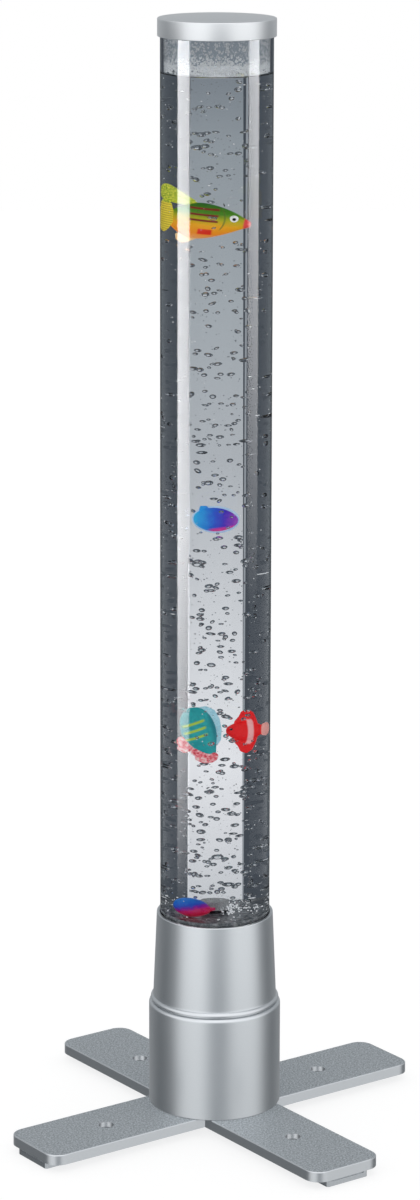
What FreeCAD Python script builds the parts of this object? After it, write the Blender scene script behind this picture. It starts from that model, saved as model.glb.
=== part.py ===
import FreeCAD, Part
import math
import os

V = FreeCAD.Vector
os.makedirs("parts", exist_ok=True)

# Bubble tube floor lamp. Millimetres, +Z up, origin on the floor under the tube's axis.
# The front faces -Y. The four foot arms lie on the diagonals, the power inlet is at the back.

# ---------------------------------------------------------------- driving sizes
# Overall
lamp_height = 1014.0
rim_height = 197.0            # top rim of the upper shell
waist_height = 112.6          # top face of the lower shell
water_height = 976.0
chamber_floor_height = 200.0  # inside floor of the tube
tube_stand_height = 167.0     # level that the tube stands on

# Tube, floor and cap
tube_od = 100.0
tube_wall = 3.0
chamber_floor_thickness = 6.0
cap_depth = 16.0
cap_top_thickness = 3.0
cap_overhang = 2.5            # cap radius beyond the tube
cap_bevel = 0.9
cap_lug_depth = 9.0
cap_lug_thickness = 3.0
cap_lug_width = 14.0
cap_vent_gap = 1.2            # air escapes between the tube's end and the cap

# Shells
shell_wall = 2.8
rim_overhang = 3.2            # radius of the upper shell's rim beyond the tube
rim_bevel = 0.8
cone_flare = 3.7              # how much wider the cone is at its foot than at its rim
bead_overhang = 2.3           # how far the bead stands out past the cone
bead_height = 3.2
bead_bevel = 1.1
groove_height = 1.6
spigot_inset = 2.2
lower_overhang = 1.2          # lower shell past the bead
shoulder_radius = 3.0
shoulder_steps = 2
flange_thickness = 3.0
flange_opening_radius = 46.0  # corners of the lower shell's eight-sided opening
shelf_thickness = 4.0
shelf_opening_radius = 40.0   # corners of the shelf's eight-sided opening
gusset_depth = 28.0
gusset_width = 8.0
rib_thickness = 2.0
hook_width = 9.0
hook_thickness = 2.8
hook_nose = 1.5
hook_height = 2.4
hook_inset = 0.6              # how far a hook's leg is set into the spigot's wall
hook_root_rise = 12.0         # top of a hook's leg above the bead

# Foot arms
arm_reach = 203.7
arm_width = 75.0
arm_top = 16.0
arm_depth = 9.4
arm_wall = 2.6
arm_corner_radius = 14.0
arm_bevel = 0.7
floor_hole_position = 121.1   # fixing holes, from the lamp's axis
floor_hole_radius = 3.25
floor_hole_sink_radius = 7.0
floor_hole_sink_depth = 4.6

# Foot pads
pad_width = 45.0
pad_length = 26.0
pad_setback = 1.9
pad_corner_bevel = 1.5
pad_groove_height = 1.0
pad_groove_depth = 0.9
pad_groove_drop = 1.0         # groove's top edge below the arm
pad_post_width = 4.5
pad_peg_size = 5.0
pad_peg_spacing = 26.0

# Base plate and screws
plate_thickness = 3.0
screw_radius = 2.0
screw_head_radius = 3.9       # across the hexagon's corners
screw_head_height = 2.4
screw_head_sink = 1.0         # head above the arm's lower edge
screw_position = 49.0
screw_bite = 18.0             # screw in the lower shell's post
boss_wall = 2.2
shell_post_height = 26.0

# Rear panel with inlet and button
panel_half_width = 20.0
panel_height = 30.0
panel_centre_height = 46.0
panel_depth = 5.0             # how deep the panel lies behind the shell's back
panel_fitting_offset = 9.0    # inlet and button, each side of the panel's middle
jack_pin_radius = 1.05
jack_bore_radius = 2.75
jack_bore_depth = 9.5
jack_pin_setback = 1.0        # pin's tip behind the jack's face
jack_width = 9.0
jack_height = 11.0
button_radius = 4.6
button_proud = 2.6
button_travel = 1.5
button_flange_size = 12.0
button_flange_thickness = 1.2
button_stem_size = 3.2
button_stem_engagement = 1.0  # stem in the switch at rest
switch_size = 8.4
switch_depth = 7.0
board_distance = 13.0         # circuit board behind the panel
board_thickness = 1.6
board_width = 52.0
board_height = 36.0
board_post_size = 5.0
intake_slots = 5
intake_slot_width = 2.0
intake_slot_height = 9.0
intake_slot_pitch = 5.0
intake_slot_rise = 12.0       # slots above the panel

# Air pump
pump_length = 66.0
pump_width = 46.0
pump_height = 34.0
pump_wall = 2.0
pump_corner_bevel = 3.0
pump_tray_height = 10.0
pump_x = -6.0                 # pump's middle from the lamp's axis
pump_y = -5.0
pump_foot_height = 8.0
pump_foot_size = 9.0
core_rest_height = 3.0
core_height = 14.0
core_leg = 6.0
core_span = 32.0
core_length = 24.0
coil_width = 18.0
coil_length = 13.0
coil_flange = 1.2
air_gap = 2.2                 # between the core's legs and the magnet
magnet_thickness = 4.0
magnet_width = 15.0
lever_thickness = 4.0
lever_height = 7.0
pivot_radius = 1.5
eye_wall = 2.0
diaphragm_radius = 8.5
diaphragm_neck_radius = 5.0
valve_box_length = 13.0
valve_box_width = 22.0
valve_box_height = 20.0
valve_box_offset = 3.0

# Air line
hose_radius = 3.0
hose_bore_radius = 2.0
hose_bend_low = 0.2           # share of the climb where the hose leaves the pump's outlet line
hose_bend_high = 0.8          # share of the climb where it joins the lamp's axis
barb_length = 7.0
valve_radius = 6.5            # across the hexagon's corners
valve_length = 18.0
nozzle_radius = 4.0
nozzle_flange_radius = 9.0
nozzle_flange_thickness = 3.0
nozzle_stem_length = 14.0
nut_thickness = 4.0
nut_radius = 7.0
stone_radius = 9.5
stone_height = 8.0

# Light
light_board_thickness = 1.6
light_board_hole = 20.0
light_count = 12
light_ring_radius = 28.0
light_size = 5.0
light_thickness = 1.4
wire_radius = 1.1

# Clearances
fit = 0.3                     # between pieces that move or are slid together
tube_fit = 0.4                # round the tube
seat_gap = 0.1                # glued or seated faces

# ---------------------------------------------------------------- derived sizes
tube_radius = tube_od / 2
bore_radius = tube_radius - tube_wall
rim_radius = tube_radius + rim_overhang
cone_foot_radius = rim_radius + cone_flare
bead_radius = cone_foot_radius + bead_overhang
spigot_radius = bead_radius - spigot_inset
spigot_bore = spigot_radius - shell_wall
lower_radius = bead_radius + lower_overhang
lower_bore = lower_radius - shell_wall
flange_under = waist_height - flange_thickness
bead_foot = waist_height + groove_height
bead_top = bead_foot + bead_height
cap_radius = tube_radius + cap_overhang
cap_ceiling = lamp_height - cap_top_thickness
tube_top = cap_ceiling - cap_vent_gap - fit
chamber_floor_under = chamber_floor_height - chamber_floor_thickness
arm_underside = arm_top - arm_depth
plate_top = arm_top + plate_thickness
panel_back = lower_radius - panel_depth
panel_inside = panel_back - shell_wall
panel_low = panel_centre_height - panel_height / 2
panel_high = panel_centre_height + panel_height / 2
jack_x = -panel_fitting_offset
button_x = panel_fitting_offset
board_front = panel_inside - board_distance
board_back = board_front - board_thickness
board_top = panel_centre_height + board_height / 2
pump_floor = plate_top + pump_foot_height
diagonals = {"back_right": 45.0, "back_left": 135.0, "front_left": 225.0, "front_right": 315.0}
quarters = [0.0, 90.0, 180.0, 270.0]


# ---------------------------------------------------------------- building helpers
def cylinder(radius, bottom, top, x=0.0, y=0.0):
    return Part.makeCylinder(radius, top - bottom, V(x, y, bottom))


def block(x0, x1, y0, y1, z0, z1):
    return Part.makeBox(x1 - x0, y1 - y0, z1 - z0, V(x0, y0, z0))


def square_post(size, bottom, top, x=0.0, y=0.0):
    half = size / 2
    return block(x - half, x + half, y - half, y + half, bottom, top)


def rod(start, end, radius):
    run = end - start
    return Part.makeCylinder(radius, run.Length, start, run)


def rounded_wire(corners, closed):
    """Wire of straight runs through (point, radius) corners, each rounded by a tangent arc."""
    joins = []
    count = len(corners)
    for i, (point, radius) in enumerate(corners):
        at_end = not closed and i in (0, count - 1)
        if at_end or radius == 0:
            joins.append((point, None, point))
            continue
        before = (corners[i - 1][0] - point).normalize()
        after = (corners[(i + 1) % count][0] - point).normalize()
        half_angle = before.getAngle(after) / 2
        middle = (before + after).normalize()
        reach = radius / math.tan(half_angle)
        centre = point + middle * (radius / math.sin(half_angle))
        joins.append((point + before * reach, centre - middle * radius, point + after * reach))
    edges = []
    for i, (start, crown, end) in enumerate(joins):
        if crown is not None:
            edges.append(Part.Arc(start, crown, end).toShape())
        if closed or i < count - 1:
            following = joins[(i + 1) % count][0]
            if end.distanceToPoint(following) > 1e-6:
                edges.append(Part.makeLine(end, following))
    return Part.Wire(edges)


def turned(profile):
    """Solid of revolution about Z from (radius, height) points."""
    outline = Part.makePolygon([V(r, 0, z) for r, z in profile + profile[:1]])
    return Part.Face(outline).revolve(V(0, 0, 0), V(0, 0, 1), 360)


def shoulder(radius, top, rounding, steps):
    """Profile points that round an outer top corner in short bevels, from the side to the top."""
    points = []
    for i in range(steps + 1):
        angle = math.radians(90.0 * i / steps)
        points.append((
            radius - rounding * (1 - math.cos(angle)),
            top - rounding * (1 - math.sin(angle)),
        ))
    return points


def prism(corners, bottom, top):
    """Upright plate from (x, y, corner radius) points."""
    points = [(V(x, y, bottom), rounding) for x, y, rounding in corners]
    return Part.Face(rounded_wire(points, True)).extrude(V(0, 0, top - bottom))


def regular_plate(radius, sides, bottom, top, start=0.0):
    corners = []
    for i in range(sides):
        angle = math.radians(start + 360.0 * i / sides)
        corners.append((radius * math.cos(angle), radius * math.sin(angle), 0))
    return prism(corners, bottom, top)


def fuse(shapes):
    return shapes[0].multiFuse(shapes[1:]).removeSplitter()


def turn(shape, degrees):
    copy = shape.copy()
    copy.rotate(V(0, 0, 0), V(0, 0, 1), degrees)
    return copy


def move(shape, x, y, z):
    copy = shape.copy()
    copy.translate(V(x, y, z))
    return copy


def on_circle(shape, angles):
    return [turn(shape, angle) for angle in angles]


def cable(points, radius):
    """Round cable or hose along straight runs joined by large tangent arcs."""
    corners = []
    for i, point in enumerate(points):
        bend = 0.0
        if 0 < i < len(points) - 1:
            before = points[i - 1] - point
            after = points[i + 1] - point
            turn_angle = math.pi - before.getAngle(after)
            bend = 0.45 * min(before.Length, after.Length) / math.tan(turn_angle / 2)
        corners.append((point, bend))
    path = rounded_wire(corners, False)
    section = Part.Wire(Part.makeCircle(radius, points[0], points[1] - points[0]))
    return path.makePipeShell([section], True, False)


def save(name, shape):
    shape.exportStep("parts/" + name + ".step")


# ---------------------------------------------------------------- foot arms and pads
mitre_start = seat_gap * math.sqrt(2)
pad_middle = arm_reach - pad_setback - pad_length / 2
head_recess_size = 2 * (screw_head_radius + fit)
boss_size = head_recess_size + 2 * boss_wall
key_size = 2 * (screw_radius + fit + boss_wall)
sink_boss_size = 2 * (floor_hole_sink_radius + boss_wall)


def arm_outline(inset):
    """Bar with a mitred inner end and rounded outer corners, drawn in by inset."""
    half = arm_width / 2 - inset
    tip = mitre_start + inset * math.sqrt(2)
    end = arm_reach - inset
    outer_corner = arm_corner_radius - inset
    return [
        (tip, 0, 0),
        (tip + half, -half, 0),
        (end, -half, outer_corner),
        (end, half, outer_corner),
        (tip + half, half, 0),
    ]


def pad_pegs(size, bottom, top):
    return [
        square_post(size, bottom, top, pad_middle, side * pad_peg_spacing / 2)
        for side in (-1, 1)
    ]


def foot_arm():
    """Moulded arm along +X: closed on top, ribbed underneath, keyed into the base plate."""
    bar = prism(arm_outline(0), arm_underside, arm_top)
    rims = [
        edge
        for edge in bar.Edges
        if min(v.Z for v in edge.Vertexes) > arm_top - seat_gap
        and edge.CenterOfMass.x > mitre_start + arm_width / 2
    ]
    bar = bar.makeChamfer(arm_bevel, rims)
    pocket = prism(arm_outline(arm_wall), arm_underside - 1, arm_top - arm_wall)
    rib_half = rib_thickness / 2
    ribs = [block(0, arm_reach, -rib_half, rib_half, arm_underside, arm_top - 1)]
    for x in (arm_width, (arm_width + floor_hole_position) / 2, pad_middle - pad_length / 2):
        ribs.append(block(x - rib_half, x + rib_half, -arm_width, arm_width, arm_underside, arm_top - 1))
    bosses = [
        square_post(boss_size, arm_underside, arm_top - 1, screw_position),
        square_post(sink_boss_size, arm_underside, arm_top - 1, floor_hole_position),
    ]
    bosses += pad_pegs(pad_peg_size + 2 * boss_wall, arm_underside, arm_top - 1)
    key = square_post(key_size, arm_top - 1, plate_top, screw_position)
    arm = fuse([bar.cut(pocket.cut(fuse(ribs + bosses))), key])
    head_seat = arm_underside + screw_head_sink + screw_head_height
    holes = [
        cylinder(floor_hole_radius, 0, lamp_height, floor_hole_position),
        cylinder(floor_hole_sink_radius, arm_top - floor_hole_sink_depth, lamp_height, floor_hole_position),
        cylinder(screw_radius + fit, 0, lamp_height, screw_position),
        square_post(head_recess_size, 0, head_seat, screw_position),
    ]
    holes += pad_pegs(pad_peg_size + 2 * seat_gap, 0, arm_top - arm_wall)
    return arm.cut(fuse(holes))


def foot_pad():
    """Lug under the arm's end that stands on the floor, with two pegs into the arm."""
    near = pad_middle - pad_length / 2
    far = pad_middle + pad_length / 2
    half = pad_width / 2
    top = arm_underside - seat_gap
    slab = block(near, far, -half, half, 0, top)
    uprights = [edge for edge in slab.Edges if edge.BoundBox.ZLength > top / 2]
    lug = slab.makeChamfer(pad_corner_bevel, uprights)
    groove_top = top - pad_groove_drop
    groove = block(
        far - pad_groove_depth,
        far + 1,
        -half + pad_post_width,
        half - pad_post_width,
        groove_top - pad_groove_height,
        groove_top,
    )
    pegs = pad_pegs(pad_peg_size, 1, arm_top - arm_wall - fit)
    return fuse([lug.cut(groove)] + pegs)


def build_feet():
    arm = foot_arm()
    pad = foot_pad()
    for name, angle in diagonals.items():
        save("foot_arm_" + name, turn(arm, angle))
        save("foot_pad_" + name, turn(pad, angle))


# ---------------------------------------------------------------- base plate and screws
screw_tip = plate_top + screw_bite


def base_plate():
    """Round floor of the base with a square window for the key on each arm."""
    disc = cylinder(lower_bore - fit, arm_top, plate_top)
    window = square_post(key_size + 2 * fit, arm_top - 1, plate_top + 1, screw_position)
    return disc.cut(fuse(on_circle(window, diagonals.values())))


def base_screws():
    """Four long screws up through the arms and the base plate into the lower shell."""
    head_bottom = arm_underside + screw_head_sink
    head_top = head_bottom + screw_head_height
    head = move(regular_plate(screw_head_radius, 6, head_bottom, head_top), screw_position, 0, 0)
    shank = cylinder(screw_radius, head_top, screw_tip, screw_position)
    return Part.makeCompound(on_circle(fuse([head, shank]), diagonals.values()))


# ---------------------------------------------------------------- base shells
hook_outside = spigot_bore + hook_inset
hook_inside = hook_outside - hook_thickness


def lower_shell():
    """Drum of the base: rounded shoulder, inner flange, screw posts and a flat rear panel."""
    profile = [(0, flange_under), (lower_bore, flange_under), (lower_bore, arm_top), (lower_radius, arm_top)]
    profile += shoulder(lower_radius, waist_height, shoulder_radius, shoulder_steps)
    profile += [(0, waist_height)]
    opening = regular_plate(flange_opening_radius, 8, flange_under - 1, waist_height + 1, 22.5)
    drum = turned(profile).cut(opening)

    post_size = 2 * (screw_radius + boss_wall)
    post_top = plate_top + shell_post_height
    post = square_post(post_size, plate_top, post_top, screw_position)
    half_rib = rib_thickness / 2
    web = block(screw_position, lower_bore + 1, -half_rib, half_rib, plate_top, post_top)
    posts = on_circle(fuse([post, web]), diagonals.values())

    envelope = cylinder(lower_radius - shell_wall / 2, arm_top, waist_height)
    pan = block(
        -panel_half_width - shell_wall,
        panel_half_width + shell_wall,
        panel_inside,
        lower_radius,
        panel_low - shell_wall,
        panel_high + shell_wall,
    ).common(envelope)
    half_post = board_post_size / 2
    post_x = board_width / 2 - board_post_size
    post_z = board_height / 2 - board_post_size
    board_post = block(
        -half_post,
        half_post,
        board_front + seat_gap,
        panel_inside + 1,
        panel_centre_height - half_post,
        panel_centre_height + half_post,
    )
    board_posts = [move(board_post, x, 0, z) for x in (-post_x, post_x) for z in (-post_z, post_z)]
    shell = fuse([drum, pan] + posts + board_posts)

    cuts = [
        block(
            -panel_half_width,
            panel_half_width,
            panel_back,
            lower_radius + 1,
            panel_low,
            panel_high,
        ),
        block(
            jack_x - jack_width / 2 - fit,
            jack_x + jack_width / 2 + fit,
            panel_inside - 1,
            panel_back + 1,
            panel_centre_height - jack_height / 2 - fit,
            panel_centre_height + jack_height / 2 + fit,
        ),
        rod(
            V(button_x, panel_inside - 1, panel_centre_height),
            V(button_x, panel_back + 1, panel_centre_height),
            button_radius + fit,
        ),
    ]
    thread = cylinder(screw_radius + seat_gap, plate_top - 1, screw_tip + 1, screw_position)
    cuts += on_circle(thread, diagonals.values())
    half_hook = hook_width / 2 + fit
    hook_slot = block(
        hook_inside - hook_nose - fit,
        hook_outside + fit,
        -half_hook,
        half_hook,
        flange_under - 1,
        waist_height + 1,
    )
    cuts += on_circle(hook_slot, quarters)
    slot_bottom = panel_high + intake_slot_rise
    for i in range(intake_slots):
        middle = (i - (intake_slots - 1) / 2) * intake_slot_pitch
        cuts.append(block(
            middle - intake_slot_width / 2,
            middle + intake_slot_width / 2,
            panel_inside,
            lower_radius + 1,
            slot_bottom,
            slot_bottom + intake_slot_height,
        ))
    return shell.cut(fuse(cuts))


def upper_shell():
    """Cone with a deep socket for the tube, an inner shelf, a bead and a spigot with hooks."""
    socket_radius = tube_radius + tube_fit
    shelf_under = tube_stand_height - shelf_thickness
    opening = regular_plate(shelf_opening_radius, 8, shelf_under - 1, tube_stand_height + 1, 22.5)
    cone = turned([
        (socket_radius, rim_height),
        (socket_radius, tube_stand_height),
        (0, tube_stand_height),
        (0, shelf_under),
        (spigot_bore, shelf_under),
        (spigot_bore, waist_height),
        (spigot_radius, waist_height),
        (spigot_radius, bead_foot),
        (bead_radius, bead_foot),
        (bead_radius, bead_top - bead_bevel),
        (cone_foot_radius, bead_top),
        (rim_radius, rim_height - rim_bevel),
        (rim_radius - rim_bevel, rim_height),
    ]).cut(opening)
    gusset = block(
        spigot_bore - gusset_width,
        spigot_bore + shell_wall / 4,
        -rib_thickness / 2,
        rib_thickness / 2,
        shelf_under - gusset_depth,
        shelf_under + 1,
    )
    leg = block(
        hook_inside,
        hook_outside,
        -hook_width / 2,
        hook_width / 2,
        flange_under - seat_gap - hook_height,
        bead_top + hook_root_rise,
    )
    nose = block(
        hook_inside - hook_nose,
        hook_inside,
        -hook_width / 2,
        hook_width / 2,
        flange_under - seat_gap - hook_height,
        flange_under - seat_gap,
    )
    gussets = on_circle(gusset, diagonals.values())
    return fuse([cone] + gussets + on_circle(fuse([leg, nose]), quarters))


# ---------------------------------------------------------------- tube, floor, cap
def tube():
    bore = cylinder(bore_radius, tube_stand_height - 1, tube_top + 1)
    return cylinder(tube_radius, tube_stand_height, tube_top).cut(bore)


def chamber_floor():
    """Thick disc glued into the tube, with a hole for the nozzle."""
    disc = cylinder(bore_radius - seat_gap, chamber_floor_under, chamber_floor_height)
    return disc.cut(cylinder(nozzle_radius + fit, chamber_floor_under - 1, chamber_floor_height + 1))


def top_cap():
    """Lift-off cap: skirt outside the tube, lugs inside, and stops that leave room for the air."""
    skirt_bottom = lamp_height - cap_depth
    skirt_inside = tube_radius + tube_fit
    cup = turned([
        (0, lamp_height),
        (cap_radius - cap_bevel, lamp_height),
        (cap_radius, lamp_height - cap_bevel),
        (cap_radius, skirt_bottom),
        (skirt_inside, skirt_bottom),
        (skirt_inside, cap_ceiling),
        (0, cap_ceiling),
    ])
    lug_outside = math.sqrt((bore_radius - 2 * fit) ** 2 - (cap_lug_width / 2) ** 2)
    lug = block(
        lug_outside - cap_lug_thickness,
        lug_outside,
        -cap_lug_width / 2,
        cap_lug_width / 2,
        cap_ceiling - cap_lug_depth,
        cap_ceiling + 1,
    )
    stop = block(
        lug_outside - cap_lug_thickness,
        tube_radius - fit,
        -cap_lug_width / 4,
        cap_lug_width / 4,
        cap_ceiling - cap_vent_gap,
        cap_ceiling + 1,
    )
    return fuse([cup] + on_circle(fuse([lug, stop]), quarters))


# ---------------------------------------------------------------- air line
nozzle_top = chamber_floor_height + nozzle_flange_thickness
stem_bottom = chamber_floor_height - nozzle_stem_length
valve_bottom = stem_bottom - valve_length
barb_radius = hose_bore_radius - seat_gap
valve_box_x1 = pump_length / 2 - pump_wall - 1
valve_box_x0 = valve_box_x1 - valve_box_length
outlet_x = (valve_box_x0 + valve_box_x1) / 2
outlet_base = pump_floor + pump_height


def air_nozzle():
    """Threaded stem through the chamber floor with a flange above and a passage for the air."""
    flange = regular_plate(nozzle_flange_radius, 8, chamber_floor_height, nozzle_top)
    stem = cylinder(nozzle_radius, stem_bottom, nozzle_top)
    passage = cylinder(hose_bore_radius / 2, stem_bottom - 1, nozzle_top + 1)
    return fuse([flange, stem]).cut(passage)


def nozzle_nut():
    nut = regular_plate(nut_radius, 6, chamber_floor_under - nut_thickness, chamber_floor_under)
    return nut.cut(cylinder(nozzle_radius + seat_gap, stem_bottom, chamber_floor_height))


def air_stone():
    """Porous disc over the nozzle that breaks the air into bubbles."""
    return cylinder(stone_radius, nozzle_top, nozzle_top + stone_height)


def check_valve():
    """Hexagonal non-return valve on the nozzle's stem, which keeps the water out of the pump."""
    body = regular_plate(valve_radius, 6, valve_bottom, stem_bottom)
    barb = cylinder(barb_radius, valve_bottom - barb_length, valve_bottom + 1)
    return fuse([body, barb])


def air_hose():
    """Silicone hose from the pump's outlet up to the check valve, hollow where it grips the barbs."""
    start_x = pump_x + outlet_x
    start_y = pump_y + valve_box_offset
    climb = valve_bottom - outlet_base
    route = [
        V(start_x, start_y, outlet_base),
        V(start_x, start_y, outlet_base + hose_bend_low * climb),
        V(0, 0, outlet_base + hose_bend_high * climb),
        V(0, 0, valve_bottom),
    ]
    grips = [
        cylinder(hose_bore_radius, outlet_base - 1, outlet_base + barb_length + fit, start_x, start_y),
        cylinder(hose_bore_radius, valve_bottom - barb_length - fit, valve_bottom + 1),
    ]
    return cable(route, hose_radius).cut(fuse(grips))


# ---------------------------------------------------------------- air pump
# Built about its own middle with its floor at zero, then moved to its place.
core_x0 = -pump_length / 2 + pump_wall + 1
core_x1 = core_x0 + core_length
core_z0 = pump_wall + core_rest_height
core_z1 = core_z0 + core_height
core_middle = (core_z0 + core_z1) / 2
coil_x0 = core_x0 + core_leg + fit
coil_x1 = coil_x0 + coil_length
magnet_x0 = core_x1 + air_gap
lever_x0 = magnet_x0 + magnet_thickness
lever_x1 = lever_x0 + lever_thickness
lever_z0 = core_middle - lever_height / 2
lever_z1 = core_middle + lever_height / 2
pivot_x = (lever_x0 + lever_x1) / 2
eye_radius = pivot_radius + fit + eye_wall
pivot_y = -pump_width / 2 + pump_wall + eye_radius + 1
valve_box_z1 = core_rest_height + valve_box_height
coil_wire_x = (coil_x0 + coil_x1) / 2
coil_wire_level = core_z1 + 2.0


def place_pump(shape):
    return move(shape, pump_x, pump_y, pump_floor)


def pump_block(inset, bottom, top):
    """Pump's outline with bevelled corners, drawn in by inset."""
    half_x = pump_length / 2 - inset
    half_y = pump_width / 2 - inset
    slab = block(-half_x, half_x, -half_y, half_y, bottom, top)
    uprights = [edge for edge in slab.Edges if edge.BoundBox.ZLength > (top - bottom) / 2]
    return slab.makeChamfer(pump_corner_bevel, uprights)


def pump_tray():
    """Floor of the pump with a low wall, core rests and the lever's pivot pin."""
    shell = pump_block(0, 0, pump_tray_height)
    tray = shell.cut(pump_block(pump_wall, pump_wall, pump_tray_height + 1))
    half_span = core_span / 2
    rests = [
        block(core_x0, core_x0 + core_leg, -half_span, half_span, pump_wall - 1, core_z0),
        block(core_x1 - core_leg / 2, core_x1, -half_span, half_span, pump_wall - 1, core_z0),
        block(
            valve_box_x0,
            valve_box_x1,
            valve_box_offset - valve_box_width / 2,
            valve_box_offset + valve_box_width / 2,
            pump_wall - 1,
            core_rest_height,
        ),
        square_post(2 * eye_radius, pump_wall - 1, lever_z0 - fit, pivot_x, pivot_y),
        cylinder(pivot_radius, pump_wall - 1, lever_z1 + pivot_radius, pivot_x, pivot_y),
    ]
    return place_pump(fuse([tray] + rests))


def pump_lid():
    """Cover over the pump with openings for the outlet and the coil's wires."""
    bottom = pump_tray_height + seat_gap
    ceiling = pump_height - pump_wall
    lid = pump_block(0, bottom, pump_height).cut(pump_block(pump_wall, bottom - 1, ceiling))
    outlet_size = 2 * (hose_radius + fit)
    outlet_hole = square_post(outlet_size, ceiling - 1, pump_height + 1, outlet_x, valve_box_offset)
    wire_room = wire_radius + fit
    wire_hole = block(
        coil_wire_x - wire_room,
        coil_wire_x + wire_room,
        pump_width / 2 - pump_wall - 1,
        pump_width / 2 + 1,
        coil_wire_level - wire_room,
        coil_wire_level + wire_room,
    )
    return place_pump(lid.cut(fuse([outlet_hole, wire_hole])))


def pump_core():
    """E-shaped laminated iron core."""
    outer_leg = core_leg * 2 / 3
    half_span = core_span / 2
    pieces = [block(core_x0, core_x0 + core_leg, -half_span, half_span, core_z0, core_z1)]
    for y0, y1 in (
        (-half_span, -half_span + outer_leg),
        (-core_leg / 2, core_leg / 2),
        (half_span - outer_leg, half_span),
    ):
        pieces.append(block(core_x0, core_x1, y0, y1, core_z0, core_z1))
    return place_pump(fuse(pieces))


def pump_coil():
    """Copper winding on its bobbin round the core's middle leg."""
    half = coil_width / 2
    room = core_leg / 2 + fit
    low = core_z0 - core_rest_height + fit
    high = core_z1 + core_rest_height
    winding = block(coil_x0, coil_x1, -half + 1, half - 1, low + 1, high - 1)
    ends = [
        block(x, x + coil_flange, -half, half, low, high)
        for x in (coil_x0, coil_x1 - coil_flange)
    ]
    leg_room = block(coil_x0 - 1, coil_x1 + 1, -room, room, core_z0 - fit, core_z1 + fit)
    return place_pump(fuse([winding] + ends).cut(leg_room))


def pump_lever():
    """Swinging arm with the magnet that faces the core's legs."""
    half_magnet = magnet_width / 2
    eye = cylinder(eye_radius, lever_z0, lever_z1, pivot_x, pivot_y)
    bar = block(lever_x0, lever_x1, pivot_y, half_magnet + eye_wall, lever_z0, lever_z1)
    magnet = block(magnet_x0, lever_x0, -half_magnet, half_magnet, lever_z0, lever_z1)
    pin_hole = cylinder(pivot_radius + fit, lever_z0 - 1, lever_z1 + 1, pivot_x, pivot_y)
    return place_pump(fuse([eye, bar, magnet]).cut(pin_hole))


def pump_diaphragm():
    """Stepped rubber cup between the lever and the valve box."""
    lever_side = V(lever_x1 + fit, valve_box_offset, core_middle)
    box_side = V(valve_box_x0, valve_box_offset, core_middle)
    step = (lever_side + box_side) / 2
    neck = rod(lever_side, step + V(1, 0, 0), diaphragm_neck_radius)
    return place_pump(fuse([neck, rod(step, box_side, diaphragm_radius)]))


def pump_valve_box():
    """Box with the inlet and outlet flaps and the outlet barb on top."""
    half = valve_box_width / 2
    box = block(
        valve_box_x0,
        valve_box_x1,
        valve_box_offset - half,
        valve_box_offset + half,
        core_rest_height,
        valve_box_z1,
    )
    tower = square_post(2 * hose_radius, valve_box_z1 - 1, pump_height, outlet_x, valve_box_offset)
    barb = cylinder(barb_radius, pump_height - 1, pump_height + barb_length, outlet_x, valve_box_offset)
    return place_pump(fuse([box, tower, barb]))


def pump_feet():
    """Four rubber blocks that hold the tray off the base plate."""
    inset = pump_foot_size / 2 + pump_wall
    feet = []
    for x in (-pump_length / 2 + inset, pump_length / 2 - inset):
        for y in (-pump_width / 2 + inset, pump_width / 2 - inset):
            feet.append(square_post(pump_foot_size, plate_top, pump_floor, x + pump_x, y + pump_y))
    return Part.makeCompound(feet)


# ---------------------------------------------------------------- power, control and light
def control_board():
    """Circuit board on posts behind the rear panel, with its chip and capacitor."""
    half = board_width / 2
    low = panel_centre_height - board_height / 2
    board = block(-half, half, board_back, board_front, low, board_top)
    chip = block(-6, 2, board_back - 1.6, board_back, low + 5, low + 13)
    capacitor = rod(V(half - 6, board_back, low + 8), V(half - 6, board_back - 9, low + 8), 3.2)
    return fuse([board, chip, capacitor])


def dc_jack():
    """Power inlet: block on the board, flush with the rear panel, with a socket and a centre pin."""
    x = jack_x
    z = panel_centre_height
    half_width = jack_width / 2
    half_height = jack_height / 2
    body = block(x - half_width, x + half_width, board_front, panel_back, z - half_height, z + half_height)
    bore_end = panel_back - jack_bore_depth
    bore = rod(V(x, bore_end, z), V(x, panel_back + 1, z), jack_bore_radius)
    pin = rod(V(x, bore_end - 1, z), V(x, panel_back - jack_pin_setback, z), jack_pin_radius)
    return fuse([body.cut(bore), pin])


def power_switch():
    """Push switch on the board behind the button."""
    x = button_x
    z = panel_centre_height
    half = switch_size / 2
    front = board_front + switch_depth
    body = block(x - half, x + half, board_front, front, z - half, z + half)
    room = button_stem_size / 2 + fit
    socket_end = front - button_stem_engagement - button_travel - 2 * fit
    return body.cut(block(x - room, x + room, socket_end, front + 1, z - room, z + room))


def power_button():
    """Round push button with a square retaining flange and a square stem into the switch."""
    x = button_x
    z = panel_centre_height
    flange_front = panel_inside - fit
    flange_back = flange_front - button_flange_thickness
    stem_back = board_front + switch_depth - button_stem_engagement
    half_flange = button_flange_size / 2
    half_stem = button_stem_size / 2
    head = rod(V(x, flange_back, z), V(x, panel_back + button_proud, z), button_radius)
    flange = block(
        x - half_flange,
        x + half_flange,
        flange_back,
        flange_front,
        z - half_flange,
        z + half_flange,
    )
    stem = block(x - half_stem, x + half_stem, stem_back, flange_back + 1, z - half_stem, z + half_stem)
    return fuse([head, flange, stem])


def light_board():
    """Octagonal circuit board that lies on the shelf inside the tube's foot."""
    top = tube_stand_height + light_board_thickness
    board = regular_plate(bore_radius - 2 * fit, 8, tube_stand_height, top, 22.5)
    return board.cut(square_post(light_board_hole, tube_stand_height - 1, top + 1))


def light_emitters():
    base = tube_stand_height + light_board_thickness
    emitter = square_post(light_size, base, base + light_thickness, light_ring_radius)
    angles = [(i + 0.5) * 360.0 / light_count for i in range(light_count)]
    return Part.makeCompound(on_circle(emitter, angles))


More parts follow.
